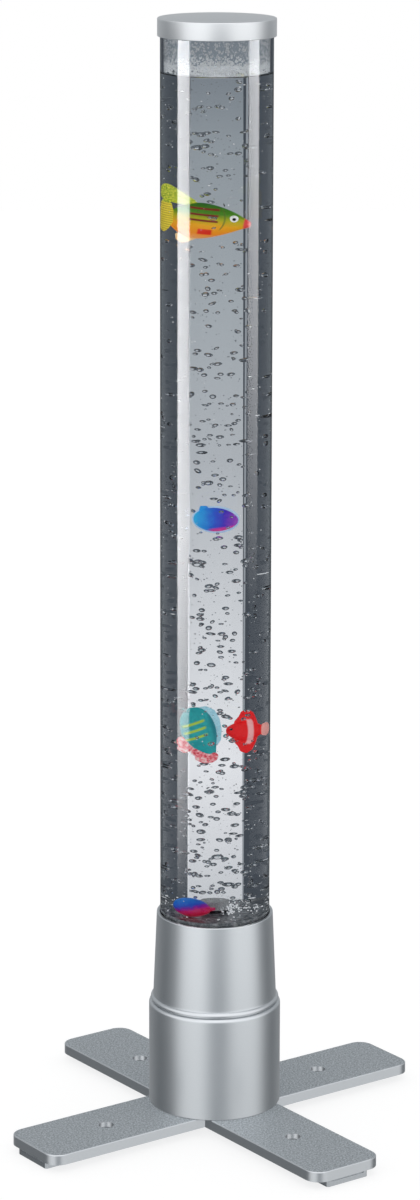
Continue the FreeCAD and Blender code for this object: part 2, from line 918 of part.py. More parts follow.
def light_wires():
    """Lead from the control board's top edge up through the shelf to the light board."""
    start = V(board_width / 4, (board_front + board_back) / 2, board_top + fit)
    end = V(0, light_board_hole / 2 + 5, tube_stand_height - fit)
    return rod(start, end, wire_radius)


def pump_wires():
    """Lead from the control board to the pump's coil."""
    x = pump_x + coil_wire_x
    level = pump_floor + coil_wire_level
    coil_side = pump_y + coil_width / 2
    return rod(V(x, board_back, level), V(x, coil_side, level), wire_radius)


# ---------------------------------------------------------------- fish
# Each fish is built nose to +X with its back up, then turned and placed.
fin_thickness = 1.6
body_sections = 6
body_sides = 10


def fish_body(length, height, width):
    """Faceted spindle of similar sections, blunt at the head and narrow at the tail."""
    rings = []
    for i in range(body_sections):
        along = i / (body_sections - 1)
        swell = math.sin(math.pi * (0.07 + 0.87 * along ** 0.9)) ** 0.7
        x = (along - 0.5) * length
        ring = []
        for k in range(body_sides):
            angle = 2 * math.pi * (k + 0.5) / body_sides
            ring.append(V(x, swell * width / 2 * math.cos(angle), swell * height / 2 * math.sin(angle)))
        rings.append(ring)
    faces = [Part.Face(Part.makePolygon(ring + ring[:1])) for ring in (rings[0], rings[-1])]
    for back_ring, front_ring in zip(rings, rings[1:]):
        for k in range(body_sides):
            n = (k + 1) % body_sides
            corners = [back_ring[k], back_ring[n], front_ring[n], front_ring[k], back_ring[k]]
            faces.append(Part.Face(Part.makePolygon(corners)))
    shell = Part.Shell(faces)
    shell.fix(1e-5, 1e-5, 1e-4)
    body = Part.Solid(shell)
    if body.Volume < 0:
        body.reverse()
    return body


def fin(corners):
    """Flat fin in the fish's middle plane from (x, z) corners."""
    outline = [V(x, -fin_thickness / 2, z) for x, z in corners]
    return Part.Face(Part.makePolygon(outline + outline[:1])).extrude(V(0, fin_thickness, 0))


def oval_corners(half_length, half_height, sides):
    corners = []
    for i in range(sides):
        angle = 2 * math.pi * i / sides
        corners.append((half_length * math.cos(angle), half_height * math.sin(angle)))
    return corners


def place_fish(shape, x, y, z, heading, pitch=0.0, roll=0.0):
    copy = shape.copy()
    copy.rotate(V(0, 0, 0), V(1, 0, 0), roll)
    copy.rotate(V(0, 0, 0), V(0, 1, 0), -pitch)
    copy.rotate(V(0, 0, 0), V(0, 0, 1), heading)
    copy.translate(V(x, y, z))
    return copy


def fish_green():
    """Large fish with a high back fin and a tall narrow tail."""
    pieces = [
        fish_body(50.0, 33.0, 19.0),
        fin([(-36, -15), (-30, -17), (-20, -4), (-20, 6), (-30, 14), (-36, 14)]),
        fin([(-33, 14), (-32, 25), (-27, 28), (-20, 25), (-6, 14), (-14, 9)]),
    ]
    return place_fish(fuse(pieces), -5.0, 4.5, 838.5, 8.0, pitch=-7.0)


def fish_blue():
    """Round flat fish with a fin all round its edge."""
    pieces = [fish_body(29.0, 23.0, 13.0), fin(oval_corners(15.8, 12.6, 14))]
    return place_fish(fuse(pieces), 0.0, 0.0, 567.2, 6.0, pitch=-4.0)


def fish_teal():
    """Deep fish standing on its tail, with fins behind and below."""
    pieces = [
        fish_body(40.0, 25.0, 14.0),
        fin([(-15, -8), (-16, -14), (-10, -16), (6, -15), (15, -9), (12, 0)]),
        fin([(-14, 6), (-15, 13), (-10, 16), (-3, 15), (2, 8)]),
        fin([(-27, -9), (-28, 5), (-20, 8), (-13, 4), (-13, -4), (-20, -11)]),
    ]
    return place_fish(fuse(pieces), -10.5, -3.0, 369.0, 8.0, pitch=100.0)


def fish_red():
    """Small fish with tall pointed fins above and below."""
    pieces = [
        fish_body(22.0, 21.0, 13.0),
        fin([(-7, 4), (-4, 18), (0, 20), (4, 16), (7, 5)]),
        fin([(-7, -4), (-4, -19), (0, -21), (4, -17), (7, -5)]),
        fin([(-16, -5), (-16, 5), (-13, 7), (-8, 3), (-8, -3), (-13, -7)]),
    ]
    return place_fish(fuse(pieces), 17.5, 11.0, 369.0, 188.0)


def fish_crimson():
    """Fish that lies on its side on the chamber floor."""
    thickness = 17.0
    pieces = [
        fish_body(32.0, 26.0, thickness),
        fin([(-20, -7), (-20, 7), (-17, 8), (-12, 4), (-12, -4), (-17, -8)]),
    ]
    rest = chamber_floor_height + fit + thickness / 2
    return place_fish(fuse(pieces), -14.0, -22.0, rest, 150.0, roll=90.0)


def room_around(shape):
    box = shape.BoundBox
    return block(
        box.XMin - fit,
        box.XMax + fit,
        box.YMin - fit,
        box.YMax + fit,
        box.ZMin - fit,
        box.ZMax + fit,
    )


def water():
    """The water that fills the tube, with plain rooms for the fish, the nozzle and the air stone."""
    column = cylinder(bore_radius - seat_gap, chamber_floor_height + seat_gap, water_height)
    pieces = [air_nozzle(), air_stone(), fish_green(), fish_blue(), fish_teal(), fish_red(), fish_crimson()]
    return column.cut([room_around(piece) for piece in pieces])


# ---------------------------------------------------------------- output
build_feet()
save("base_plate", base_plate())
save("base_screws", base_screws())
save("lower_shell", lower_shell())
save("upper_shell", upper_shell())
save("tube", tube())
save("chamber_floor", chamber_floor())
save("top_cap", top_cap())
save("air_nozzle", air_nozzle())
save("nozzle_nut", nozzle_nut())
save("air_stone", air_stone())
save("check_valve", check_valve())
save("air_hose", air_hose())
save("pump_tray", pump_tray())
save("pump_lid", pump_lid())
save("pump_core", pump_core())
save("pump_coil", pump_coil())
save("pump_lever", pump_lever())
save("pump_diaphragm", pump_diaphragm())
save("pump_valve_box", pump_valve_box())
save("pump_feet", pump_feet())
save("control_board", control_board())
save("dc_jack", dc_jack())
save("power_switch", power_switch())
save("power_button", power_button())
save("light_board", light_board())
save("light_emitters", light_emitters())
save("light_wires", light_wires())
save("pump_wires", pump_wires())
save("fish_green", fish_green())
save("fish_blue", fish_blue())
save("fish_teal", fish_teal())
save("fish_red", fish_red())
save("fish_crimson", fish_crimson())
save("water", water())
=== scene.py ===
import bpy
import math
import random
from mathutils import Matrix, Vector


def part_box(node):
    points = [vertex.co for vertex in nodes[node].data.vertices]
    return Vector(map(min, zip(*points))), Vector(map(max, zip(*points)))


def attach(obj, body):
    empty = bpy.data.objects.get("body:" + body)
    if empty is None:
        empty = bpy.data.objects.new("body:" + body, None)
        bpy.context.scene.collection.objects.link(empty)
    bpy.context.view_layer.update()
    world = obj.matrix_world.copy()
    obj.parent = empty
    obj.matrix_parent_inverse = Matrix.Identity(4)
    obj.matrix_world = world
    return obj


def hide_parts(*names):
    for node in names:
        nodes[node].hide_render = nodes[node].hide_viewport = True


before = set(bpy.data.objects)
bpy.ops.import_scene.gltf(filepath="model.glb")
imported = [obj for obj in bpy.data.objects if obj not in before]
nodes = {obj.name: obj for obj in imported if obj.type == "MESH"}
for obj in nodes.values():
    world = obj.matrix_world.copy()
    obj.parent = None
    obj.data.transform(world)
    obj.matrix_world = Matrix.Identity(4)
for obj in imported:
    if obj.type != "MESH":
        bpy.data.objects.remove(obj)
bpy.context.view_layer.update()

# ---------------------------------------------------------------- foot arms and pads
# Four arms moulded in silver plastic, crossed under the base. Their tops are sand textured, their sides
# smooth. Each stands on a smooth silver pad that is pegged into its outer end.
SAND_GRAIN = 620.0          # grains per metre
SAND_DEPTH = 0.0004
ARM_SILVER = (0.36, 0.39, 0.41)
ARM_SILVER_LIGHT = (0.62, 0.655, 0.68)
ARM_SIDE_SILVER = (0.60, 0.625, 0.645)
# Painted shade: the floors of the fixing holes in the arms get a darker silver.
HOLE_SHADE_SILVER = (0.24, 0.255, 0.27)
SINK_FLOOR = 0.0125         # lower than this, a face that looks up is the floor of a fixing hole


def new_finish(name, colour, roughness, metallic=0.0):
    """A material with one Principled shader, and its tree."""
    finish = bpy.data.materials.new(name)
    finish.use_nodes = True
    shader = finish.node_tree.nodes["Principled BSDF"]
    shader.inputs["Base Color"].default_value = (*colour, 1.0)
    shader.inputs["Roughness"].default_value = roughness
    shader.inputs["Metallic"].default_value = metallic
    return finish, finish.node_tree, shader


def add_node(tree, kind, settings=None, inputs=None):
    """One shader node; values go to its sockets and links come from other nodes' outputs."""
    node = tree.nodes.new(kind)
    for key, value in (settings or {}).items():
        setattr(node, key, value)
    for key, value in (inputs or {}).items():
        if isinstance(value, bpy.types.NodeSocket):
            tree.links.new(value, node.inputs[key])
        else:
            node.inputs[key].default_value = value
    return node


def math_node(tree, operation, first, second=0.0, clamp=False):
    node = add_node(tree, "ShaderNodeMath", {"operation": operation, "use_clamp": clamp}, {0: first, 1: second})
    return node.outputs[0]


def mix_colour(tree, factor, first, second, blend="MIX"):
    node = add_node(tree, "ShaderNodeMix", {"data_type": "RGBA", "blend_type": blend})
    for index, value in ((0, factor), (6, first), (7, second)):
        if isinstance(value, bpy.types.NodeSocket):
            tree.links.new(value, node.inputs[index])
        elif index:
            node.inputs[index].default_value = (*value, 1.0)
        else:
            node.inputs[index].default_value = value
    return node.outputs[2]


def new_group(name, inputs, outputs):
    """An empty node group with named float, vector and colour sockets."""
    group = bpy.data.node_groups.new(name, "ShaderNodeTree")
    for label, kind, value in inputs:
        socket = group.interface.new_socket(name=label, in_out="INPUT", socket_type="NodeSocket" + kind)
        if value is not None:
            socket.default_value = value
    for label, kind in outputs:
        group.interface.new_socket(name=label, in_out="OUTPUT", socket_type="NodeSocket" + kind)
    return group, group.nodes.new("NodeGroupInput"), group.nodes.new("NodeGroupOutput")


grain_group, grain_in, grain_out = new_group(
    "moulded_grain",
    [("Vector", "Vector", None), ("Scale", "Float", SAND_GRAIN), ("Contrast", "Float", 1.0)],
    [("Mask", "Float"), ("Height", "Float")],
)
fine_grain = add_node(grain_group, "ShaderNodeTexNoise", {}, {
    "Vector": grain_in.outputs["Vector"], "Scale": grain_in.outputs["Scale"], "Detail": 2.0, "Roughness": 0.6,
})
grain_contrast = math_node(
    grain_group, "MULTIPLY", math_node(grain_group, "SUBTRACT", fine_grain.outputs["Fac"], 0.5),
    grain_in.outputs["Contrast"],
)
grain_mask = math_node(grain_group, "ADD", grain_contrast, 0.5, clamp=True)
grain_group.links.new(grain_mask, grain_out.inputs["Mask"])
grain_group.links.new(fine_grain.outputs["Fac"], grain_out.inputs["Height"])


def use_group(tree, group, inputs):
    return add_node(tree, "ShaderNodeGroup", {"node_tree": group}, inputs)


def object_place(tree):
    return add_node(tree, "ShaderNodeTexCoord").outputs["Object"]


def coat(names, finish):
    """Gives carried-over CAD nodes their finish."""
    for name in names:
        for slot in nodes[name].material_slots:
            slot.material = finish


def tint(tree, shader, colour):
    tree.links.new(colour, shader.inputs["Base Color"])


def relief(tree, shader, height, strength, distance):
    bump = add_node(tree, "ShaderNodeBump", {}, {"Strength": strength, "Distance": distance, "Height": height})
    tree.links.new(bump.outputs["Normal"], shader.inputs["Normal"])


def noise(tree, place, scale, detail=2.0):
    node = add_node(tree, "ShaderNodeTexNoise", {}, {"Vector": place, "Scale": scale, "Detail": detail})
    return node.outputs["Fac"]


def mottle(tree, shader, scale, dark, light):
    """Base colour that drifts between two tones in soft noise."""
    tint(tree, shader, mix_colour(tree, noise(tree, object_place(tree), scale), dark, light))


def grained(tree, shader, scale, contrast, dark, light):
    """Base colour in two tones of moulded grain, whose group node it gives back."""
    grain = use_group(tree, grain_group, {"Vector": object_place(tree), "Scale": scale, "Contrast": contrast})
    tint(tree, shader, mix_colour(tree, grain.outputs["Mask"], dark, light))
    return grain


arm_finish, tree, shader = new_finish("sanded_silver", ARM_SILVER, 0.5, 0.9)
place = object_place(tree)
grain = use_group(tree, grain_group, {"Vector": place, "Scale": SAND_GRAIN, "Contrast": 5.0})
facing = add_node(tree, "ShaderNodeSeparateXYZ", {}, {
    0: add_node(tree, "ShaderNodeNewGeometry").outputs["True Normal"],
})
height = add_node(tree, "ShaderNodeSeparateXYZ", {}, {0: place}).outputs["Z"]
top_mask = math_node(tree, "GREATER_THAN", facing.outputs["Z"], 0.9)
sanded = mix_colour(tree, grain.outputs["Mask"], ARM_SILVER, ARM_SILVER_LIGHT)
# Faces lower than SINK_FLOOR, the floors of the fixing holes, get the darker silver as painted shade.
top_tone = mix_colour(tree, math_node(tree, "GREATER_THAN", height, SINK_FLOOR), HOLE_SHADE_SILVER, sanded)
tint(tree, shader, mix_colour(tree, top_mask, ARM_SIDE_SILVER, top_tone))
roughness = math_node(tree, "ADD", math_node(tree, "MULTIPLY", top_mask, 0.24), 0.34)
tree.links.new(roughness, shader.inputs["Roughness"])
relief(tree, shader, math_node(tree, "MULTIPLY", grain.outputs["Height"], top_mask), 0.8, SAND_DEPTH)
arm_nodes = [name for name in nodes if name.startswith("foot_arm_")]
coat(arm_nodes, arm_finish)
for name in arm_nodes:
    nodes[name].visible_glossy = False

pad_finish, tree, shader = new_finish("pad_silver", (0.50, 0.525, 0.545), 0.34, 0.9)
grained(tree, shader, 500.0, 1.5, (0.47, 0.495, 0.515), (0.53, 0.555, 0.575))
coat([name for name in nodes if name.startswith("foot_pad_")], pad_finish)

# ---------------------------------------------------------------- base plate and screws
# A black plastic disc closes the base from below. Four long steel screws come up through the arms and
# hold arms, disc and lower shell together.
black_finish, tree, shader = new_finish("black_plastic", (0.022, 0.022, 0.024), 0.5)
grain = grained(tree, shader, 700.0, 2.0, (0.018, 0.018, 0.02), (0.03, 0.03, 0.032))
relief(tree, shader, grain.outputs["Height"], 0.2, 0.0001)
coat(["base_plate", "pump_tray", "pump_lid", "power_switch", "dc_jack", "air_nozzle", "nozzle_nut"], black_finish)


def vary_gloss(tree, shader, scale, detail, least, more):
    """Roughness that drifts upwards from its least value in soft noise."""
    drift = math_node(tree, "MULTIPLY", noise(tree, object_place(tree), scale, detail), more)
    tree.links.new(math_node(tree, "ADD", drift, least), shader.inputs["Roughness"])


steel_finish, tree, shader = new_finish("zinc_plated_steel", (0.62, 0.62, 0.63), 0.3, 1.0)
vary_gloss(tree, shader, 1500.0, 1.0, 0.2, 0.2)
coat(["base_screws", "pump_core", "pump_lever"], steel_finish)

# ---------------------------------------------------------------- air pump, board and leads
# Hidden in the base: a small diaphragm pump on rubber feet, the control board with its inlet and switch,
# the milky silicone hose up to the valve, and the red leads.
rubber_finish, tree, shader = new_finish("black_rubber", (0.025, 0.025, 0.025), 0.7)
grained(tree, shader, 400.0, 1.0, (0.02, 0.02, 0.02), (0.035, 0.035, 0.035))
coat(["pump_feet", "pump_diaphragm"], rubber_finish)

white_finish, tree, shader = new_finish("white_plastic", (0.78, 0.78, 0.76), 0.4)
grained(tree, shader, 300.0, 1.0, (0.74, 0.74, 0.72), (0.8, 0.8, 0.78))
coat(["check_valve", "pump_valve_box", "light_board"], white_finish)

copper_finish, tree, shader = new_finish("enamelled_copper", (0.62, 0.25, 0.12), 0.3, 1.0)
windings = add_node(tree, "ShaderNodeTexWave", {"bands_direction": "X"}, {
    "Vector": object_place(tree), "Scale": 600.0,
})
relief(tree, shader, windings.outputs["Fac"], 0.6, 0.0002)
coat(["pump_coil"], copper_finish)

board_finish, tree, shader = new_finish("circuit_board", (0.02, 0.16, 0.06), 0.35)
tracks = add_node(tree, "ShaderNodeTexBrick", {}, {
    "Vector": object_place(tree), "Scale": 160.0, "Color1": (0.02, 0.16, 0.06, 1), "Color2": (0.02, 0.2, 0.08, 1),
    "Mortar": (0.04, 0.26, 0.1, 1), "Mortar Size": 0.03,
})
tint(tree, shader, tracks.outputs["Color"])
coat(["control_board"], board_finish)

hose_finish, tree, shader = new_finish("milky_silicone", (0.72, 0.75, 0.74), 0.3)
shader.inputs["Transmission Weight"].default_value = 0.4
mottle(tree, shader, 90.0, (0.68, 0.71, 0.7), (0.76, 0.79, 0.78))
coat(["air_hose"], hose_finish)

lead_finish, tree, shader = new_finish("red_lead", (0.45, 0.02, 0.02), 0.4)
mottle(tree, shader, 300.0, (0.4, 0.015, 0.015), (0.5, 0.03, 0.03))
coat(["light_wires", "pump_wires"], lead_finish)

lens_finish, tree, shader = new_finish("light_emitter", (0.9, 0.86, 0.6), 0.25)
mottle(tree, shader, 250.0, (0.88, 0.82, 0.5), (0.94, 0.92, 0.75))
coat(["light_emitters"], lens_finish)

# ---------------------------------------------------------------- lower shell
# The drum of the base: moulded plastic in a satin silver paint, with a rounded shoulder and, at the back,
# a flat recessed panel for the inlet and the button and a row of air slots above it.
LOWER_RADIUS = 0.0604
LOWER_BORE = 0.0576
LOWER_FOOT = 0.0160
WAIST = 0.1126
SHOULDER = 0.0036
FLANGE = 0.0030
PANEL_BACK = 0.0554
PANEL_INSIDE = 0.0526
PANEL_HALF_WIDTH = 0.020
PANEL_LOW = 0.031
PANEL_HIGH = 0.061
SILVER = (0.60, 0.625, 0.645)
SHELL_SIDES = 160


def start_edit(piece):
    bpy.ops.object.select_all(action="DESELECT")
    bpy.context.view_layer.objects.active = piece
    piece.select_set(True)
    bpy.ops.object.mode_set(mode="EDIT")


def end_edit():
    bpy.ops.object.mode_set(mode="OBJECT")


def rounded(centre_radius, centre_height, radius, start, end, steps):
    """Ring sizes along an arc of a lathe profile, with angles from the outward direction."""
    rings = []
    for step in range(steps + 1):
        angle = math.radians(start + (end - start) * step / steps)
        rings.append((centre_radius + radius * math.cos(angle), centre_height + radius * math.sin(angle)))
    return rings


def lathe(name, rings, sides):
    """A circle extruded and scaled from ring to ring round the lamp's axis, and closed on itself."""
    bpy.ops.object.select_all(action="DESELECT")
    radius, height = rings[0]
    bpy.ops.mesh.primitive_circle_add(vertices=sides, radius=radius, location=(0, 0, height))
    piece = bpy.context.object
    piece.name = name
    bpy.ops.object.transform_apply(location=True)
    start_edit(piece)
    bpy.ops.mesh.select_all(action="SELECT")
    for (radius, height), (next_radius, next_height) in zip(rings, rings[1:] + rings[:1]):
        step = (0, 0, next_height - height)
        bpy.ops.mesh.extrude_edges_move(TRANSFORM_OT_translate={"value": step})
        grow = next_radius / radius
        bpy.ops.transform.resize(value=(grow, grow, 1))
    bpy.ops.mesh.select_all(action="SELECT")
    bpy.ops.mesh.remove_doubles(threshold=0.000002)
    bpy.ops.mesh.normals_make_consistent(inside=False)
    end_edit()
    return piece


def box_piece(name, low, high):
    """A box between two corners, as a cutter or a joined part."""
    bpy.ops.object.select_all(action="DESELECT")
    middle = [(a + b) / 2 for a, b in zip(low, high)]
    bpy.ops.mesh.primitive_cube_add(size=1, location=middle, scale=[b - a for a, b in zip(low, high)])
    piece = bpy.context.object
    piece.name = name
    bpy.ops.object.transform_apply(location=True, scale=True)
    return piece


def rod_piece(name, centre, radius, depth, sides, turn=(0, 0, 0)):
    bpy.ops.object.select_all(action="DESELECT")
    bpy.ops.mesh.primitive_cylinder_add(vertices=sides, radius=radius, depth=depth, location=centre, rotation=turn)
    piece = bpy.context.object
    piece.name = name
    bpy.ops.object.transform_apply(location=True, rotation=True)
    return piece


def apply_modifier(piece, kind, **settings):
    bpy.context.view_layer.objects.active = piece
    modifier = piece.modifiers.new(kind.lower(), kind)
    for key, value in settings.items():
        setattr(modifier, key, value)
    bpy.ops.object.modifier_apply(modifier=modifier.name)


def combine(piece, tool, operation):
    """Boolean with a tool piece, which is then thrown away."""
    apply_modifier(piece, "BOOLEAN", operation=operation, object=tool, solver="EXACT")
    bpy.data.objects.remove(tool)


def shade(piece, degrees=40.0):
    bpy.ops.object.select_all(action="DESELECT")
    bpy.context.view_layer.objects.active = piece
    piece.select_set(True)
    bpy.ops.object.shade_smooth_by_angle(angle=math.radians(degrees))


def wear(piece, *finishes):
    piece.data.materials.clear()
    for finish in finishes:
        piece.data.materials.append(finish)


def seat(piece, body, replaced):
    """Body and replaced CAD node of a finished piece."""
    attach(piece, body)
    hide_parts(replaced)


lower_rings = [(LOWER_BORE, LOWER_FOOT), (LOWER_RADIUS - 0.0005, LOWER_FOOT), (LOWER_RADIUS, LOWER_FOOT + 0.0005)]
lower_rings += rounded(LOWER_RADIUS - SHOULDER, WAIST - SHOULDER, SHOULDER, 0, 90, 8)
lower_rings += [(0.046, WAIST), (0.046, WAIST - FLANGE), (LOWER_BORE, WAIST - FLANGE)]
lower_shell = lathe("lower_shell_drum", lower_rings, SHELL_SIDES)
pan = box_piece(
    "panel_pan",
    (-PANEL_HALF_WIDTH - 0.0028, PANEL_INSIDE, PANEL_LOW - 0.0028),
    (PANEL_HALF_WIDTH + 0.0028, 0.0585, PANEL_HIGH + 0.0028),
)
limit = rod_piece("pan_limit", (0, 0, 0.05), LOWER_RADIUS - 0.0014, 0.08, SHELL_SIDES)
combine(pan, limit, "INTERSECT")
combine(lower_shell, pan, "UNION")
recess = box_piece("panel_recess", (-PANEL_HALF_WIDTH, PANEL_BACK, PANEL_LOW), (PANEL_HALF_WIDTH, 0.062, PANEL_HIGH))
apply_modifier(recess, "BEVEL", width=0.0012, segments=3)
combine(lower_shell, recess, "DIFFERENCE")
jack_hole = box_piece("jack_hole", (-0.0138, 0.05, 0.0402), (-0.0042, 0.057, 0.0518))
combine(lower_shell, jack_hole, "DIFFERENCE")
button_hole = rod_piece("button_hole", (0.009, 0.054, 0.046), 0.0049, 0.006, 48, (math.radians(90), 0, 0))
combine(lower_shell, button_hole, "DIFFERENCE")
for count in range(5):
    middle = (count - 2) * 0.005
    air_slot = box_piece("air_slot", (middle - 0.001, PANEL_INSIDE, 0.073), (middle + 0.001, 0.062, 0.082))
    combine(lower_shell, air_slot, "DIFFERENCE")
shade(lower_shell, 32)

flake_group, flake_in, flake_out = new_group(
    "silver_flake",
    [("Vector", "Vector", None), ("Dark", "Color", (*SILVER, 1)), ("Light", "Color", (*SILVER, 1)),
     ("Roughness", "Float", 0.3)],
    [("Color", "Color"), ("Roughness", "Float")],
)
flakes = add_node(flake_group, "ShaderNodeTexNoise", {}, {
    "Vector": flake_in.outputs["Vector"], "Scale": 2200.0, "Detail": 1.0,
})
clouds = add_node(flake_group, "ShaderNodeTexNoise", {}, {
    "Vector": flake_in.outputs["Vector"], "Scale": 18.0, "Detail": 3.0,
})
flake_colour = mix_colour(flake_group, flakes.outputs["Fac"], flake_in.outputs["Dark"], flake_in.outputs["Light"])
flake_group.links.new(flake_colour, flake_out.inputs["Color"])
flake_roughness = math_node(
    flake_group, "ADD", flake_in.outputs["Roughness"],
    math_node(flake_group, "MULTIPLY", math_node(flake_group, "SUBTRACT", clouds.outputs["Fac"], 0.5), 0.06),
)
flake_group.links.new(flake_roughness, flake_out.inputs["Roughness"])


def silver_paint(name, dark, light, roughness, metallic):
    finish, tree, shader = new_finish(name, SILVER, roughness, metallic)
    flake = use_group(tree, flake_group, {
        "Vector": object_place(tree), "Dark": (*dark, 1), "Light": (*light, 1), "Roughness": roughness,
    })
    tree.links.new(flake.outputs["Color"], shader.inputs["Base Color"])
    tree.links.new(flake.outputs["Roughness"], shader.inputs["Roughness"])
    return finish


shell_finish = silver_paint("satin_silver_paint", (0.56, 0.59, 0.61), (0.64, 0.665, 0.685), 0.33, 0.9)
wear(lower_shell, shell_finish)
seat(lower_shell, "lamp", "lower_shell")

button_finish, tree, shader = new_finish("button_black", (0.03, 0.03, 0.033), 0.28)
vary_gloss(tree, shader, 400.0, 2.0, 0.22, 0.12)
coat(["power_button"], button_finish)

# ---------------------------------------------------------------- upper shell
# The cone of the base in the same satin silver paint. It narrows to the rim round the tube, carries a
# rounded bead above the groove at the waist, and holds the tube in a deep socket.
RIM_RADIUS = 0.0532
RIM_HEIGHT = 0.1970
RIM_ROUND = 0.0008
SOCKET_RADIUS = 0.0504
SHELF = 0.1670
CONE_FOOT_RADIUS = 0.0565
CONE_FOOT = 0.1186
BEAD_RADIUS = 0.0588
BEAD_FOOT = 0.1141
BEAD_ROUND = 0.0034
SPIGOT_RADIUS = 0.0572
SPIGOT_BORE = 0.0542

upper_rings = [(SOCKET_RADIUS, SHELF), (SOCKET_RADIUS, RIM_HEIGHT - 0.0003), (SOCKET_RADIUS + 0.0003, RIM_HEIGHT)]
upper_rings += rounded(RIM_RADIUS - RIM_ROUND, RIM_HEIGHT - RIM_ROUND, RIM_ROUND, 90, 0, 5)
upper_rings += [(CONE_FOOT_RADIUS - 0.0001, CONE_FOOT + 0.0012), (CONE_FOOT_RADIUS, CONE_FOOT)]
upper_rings += rounded(BEAD_RADIUS - BEAD_ROUND, BEAD_FOOT + 0.0004, BEAD_ROUND, 68, 0, 8)
upper_rings += rounded(BEAD_RADIUS - 0.0004, BEAD_FOOT + 0.0004, 0.0004, 0, -90, 3)
upper_rings += [(SPIGOT_RADIUS, BEAD_FOOT), (SPIGOT_RADIUS, WAIST), (SPIGOT_BORE, WAIST)]
upper_rings += [(SPIGOT_BORE, SHELF - 0.004), (0.040, SHELF - 0.004), (0.040, SHELF)]
upper_shell = lathe("upper_shell_cone", upper_rings, SHELL_SIDES)
shade(upper_shell, 32)
wear(upper_shell, shell_finish)
seat(upper_shell, "lamp", "upper_shell")

# ---------------------------------------------------------------- chamber floor and air stone
# A thick smoke-grey disc glued into the tube closes the water chamber. The gritty air stone sits on its
# nozzle in the middle.
floor_finish, tree, shader = new_finish("smoked_acrylic", (0.10, 0.11, 0.12), 0.16)
scuffs = add_node(tree, "ShaderNodeTexNoise", {}, {
    "Vector": object_place(tree), "Scale": 160.0, "Detail": 5.0, "Roughness": 0.7,
})
limescale = add_node(tree, "ShaderNodeMapRange", {"interpolation_type": "SMOOTHSTEP"}, {
    "Value": scuffs.outputs["Fac"], "From Min": 0.46, "From Max": 0.66,
})
tint(tree, shader, mix_colour(tree, limescale.outputs["Result"], (0.16, 0.175, 0.19), (0.46, 0.48, 0.50)))
coat(["chamber_floor"], floor_finish)

stone_finish, tree, shader = new_finish("porous_stone", (0.30, 0.32, 0.34), 0.9)
pores = add_node(tree, "ShaderNodeTexVoronoi", {}, {"Vector": object_place(tree), "Scale": 1100.0})
tint(tree, shader, mix_colour(tree, pores.outputs["Distance"], (0.24, 0.25, 0.26), (0.60, 0.62, 0.64)))
relief(tree, shader, pores.outputs["Distance"], 0.8, 0.0004)
coat(["air_stone"], stone_finish)

# ---------------------------------------------------------------- tube
# A stock tube of clear cast acrylic, 100 mm outside with a 3 mm wall. Where the water wets the bore, the
# two are so close in index that the bore can't be seen, so that part of it bends no light.
TUBE_RADIUS = 0.050
BORE_RADIUS = 0.047
TUBE_FOOT = 0.167
TUBE_TOP = 0.9732 + 0.0363
WATER_LEVEL = 0.9655
TUBE_SIDES = 224

tube_rings = [
    (BORE_RADIUS, TUBE_FOOT), (TUBE_RADIUS - 0.0003, TUBE_FOOT), (TUBE_RADIUS, TUBE_FOOT + 0.0003),
    (TUBE_RADIUS, TUBE_TOP - 0.0003), (TUBE_RADIUS - 0.0003, TUBE_TOP), (BORE_RADIUS + 0.0003, TUBE_TOP),
    (BORE_RADIUS, TUBE_TOP - 0.0003), (BORE_RADIUS, WATER_LEVEL + 0.0015), (BORE_RADIUS, 0.1995),
]
tube = lathe("clear_tube", tube_rings, TUBE_SIDES)
shade(tube, 32)


def clear_finish(name, roughness, weight, index, scale, dark, light):
    """A see-through finish with a faint haze in its colour; gives its shader too."""
    finish, tree, shader = new_finish(name, light, roughness)
    shader.inputs["Transmission Weight"].default_value = weight
    shader.inputs["IOR"].default_value = index
    mottle(tree, shader, scale, dark, light)
    return finish, shader


tube_finish, shader = clear_finish("clear_acrylic", 0.0, 1.0, 1.36, 12.0, (0.96, 0.98, 0.985), (0.98, 0.99, 0.995))
wet_finish, shader = clear_finish("wetted_bore", 0.0, 1.0, 1.0, 12.0, (0.985, 0.99, 0.995), (0.995, 1.0, 1.0))
wear(tube, tube_finish, wet_finish)
seat(tube, "lamp", "tube")
for face in tube.data.polygons:
    at_bore = math.hypot(face.center.x, face.center.y) < BORE_RADIUS + 0.0001
    if at_bore and 0.2 < face.center.z < WATER_LEVEL:
        face.material_index = 1

# ---------------------------------------------------------------- water and its bubbles
# Clear water from the chamber floor up to a little below the cap. Air from the stone rises in it as
# hundreds of flattened bubbles, crowded low down and thinner towards the top; they are hollows in it.
WATER_RADIUS = 0.0469
WATER_FOOT = 0.2001
WATER_INDEX = 1.333
BUBBLE_COUNT = 720
SPECK_COUNT = 1100
FROTH_COUNT = 620           # fine bubbles that swarm on the floor round the stone
WALL_SPECK_COUNT = 520      # fine bubbles that cling to the bore
bubble_chance = random.Random(11)

water_rings = [
    (0.001, WATER_FOOT), (WATER_RADIUS, WATER_FOOT), (WATER_RADIUS, WATER_LEVEL + 0.0012),
    (WATER_RADIUS - 0.0005, WATER_LEVEL + 0.0006), (WATER_RADIUS - 0.0022, WATER_LEVEL), (0.001, WATER_LEVEL),
]
water = lathe("water_column", water_rings, TUBE_SIDES)


def close_poles(piece, radius):
    """Swaps the thin core of a lathed piece for flat faces at its two poles."""
    start_edit(piece)
    bpy.ops.mesh.select_mode(type="FACE")
    bpy.ops.mesh.select_all(action="DESELECT")
    end_edit()
    for face in piece.data.polygons:
        face.select = math.hypot(face.center.x, face.center.y) < radius
    start_edit(piece)
    bpy.ops.mesh.delete(type="FACE")
    bpy.ops.mesh.select_mode(type="EDGE")
    bpy.ops.mesh.select_all(action="DESELECT")
    bpy.ops.mesh.select_non_manifold()
    bpy.ops.mesh.edge_face_add()
    bpy.ops.mesh.select_all(action="SELECT")
    bpy.ops.mesh.normals_make_consistent(inside=False)
    end_edit()


close_poles(water, 0.0012)


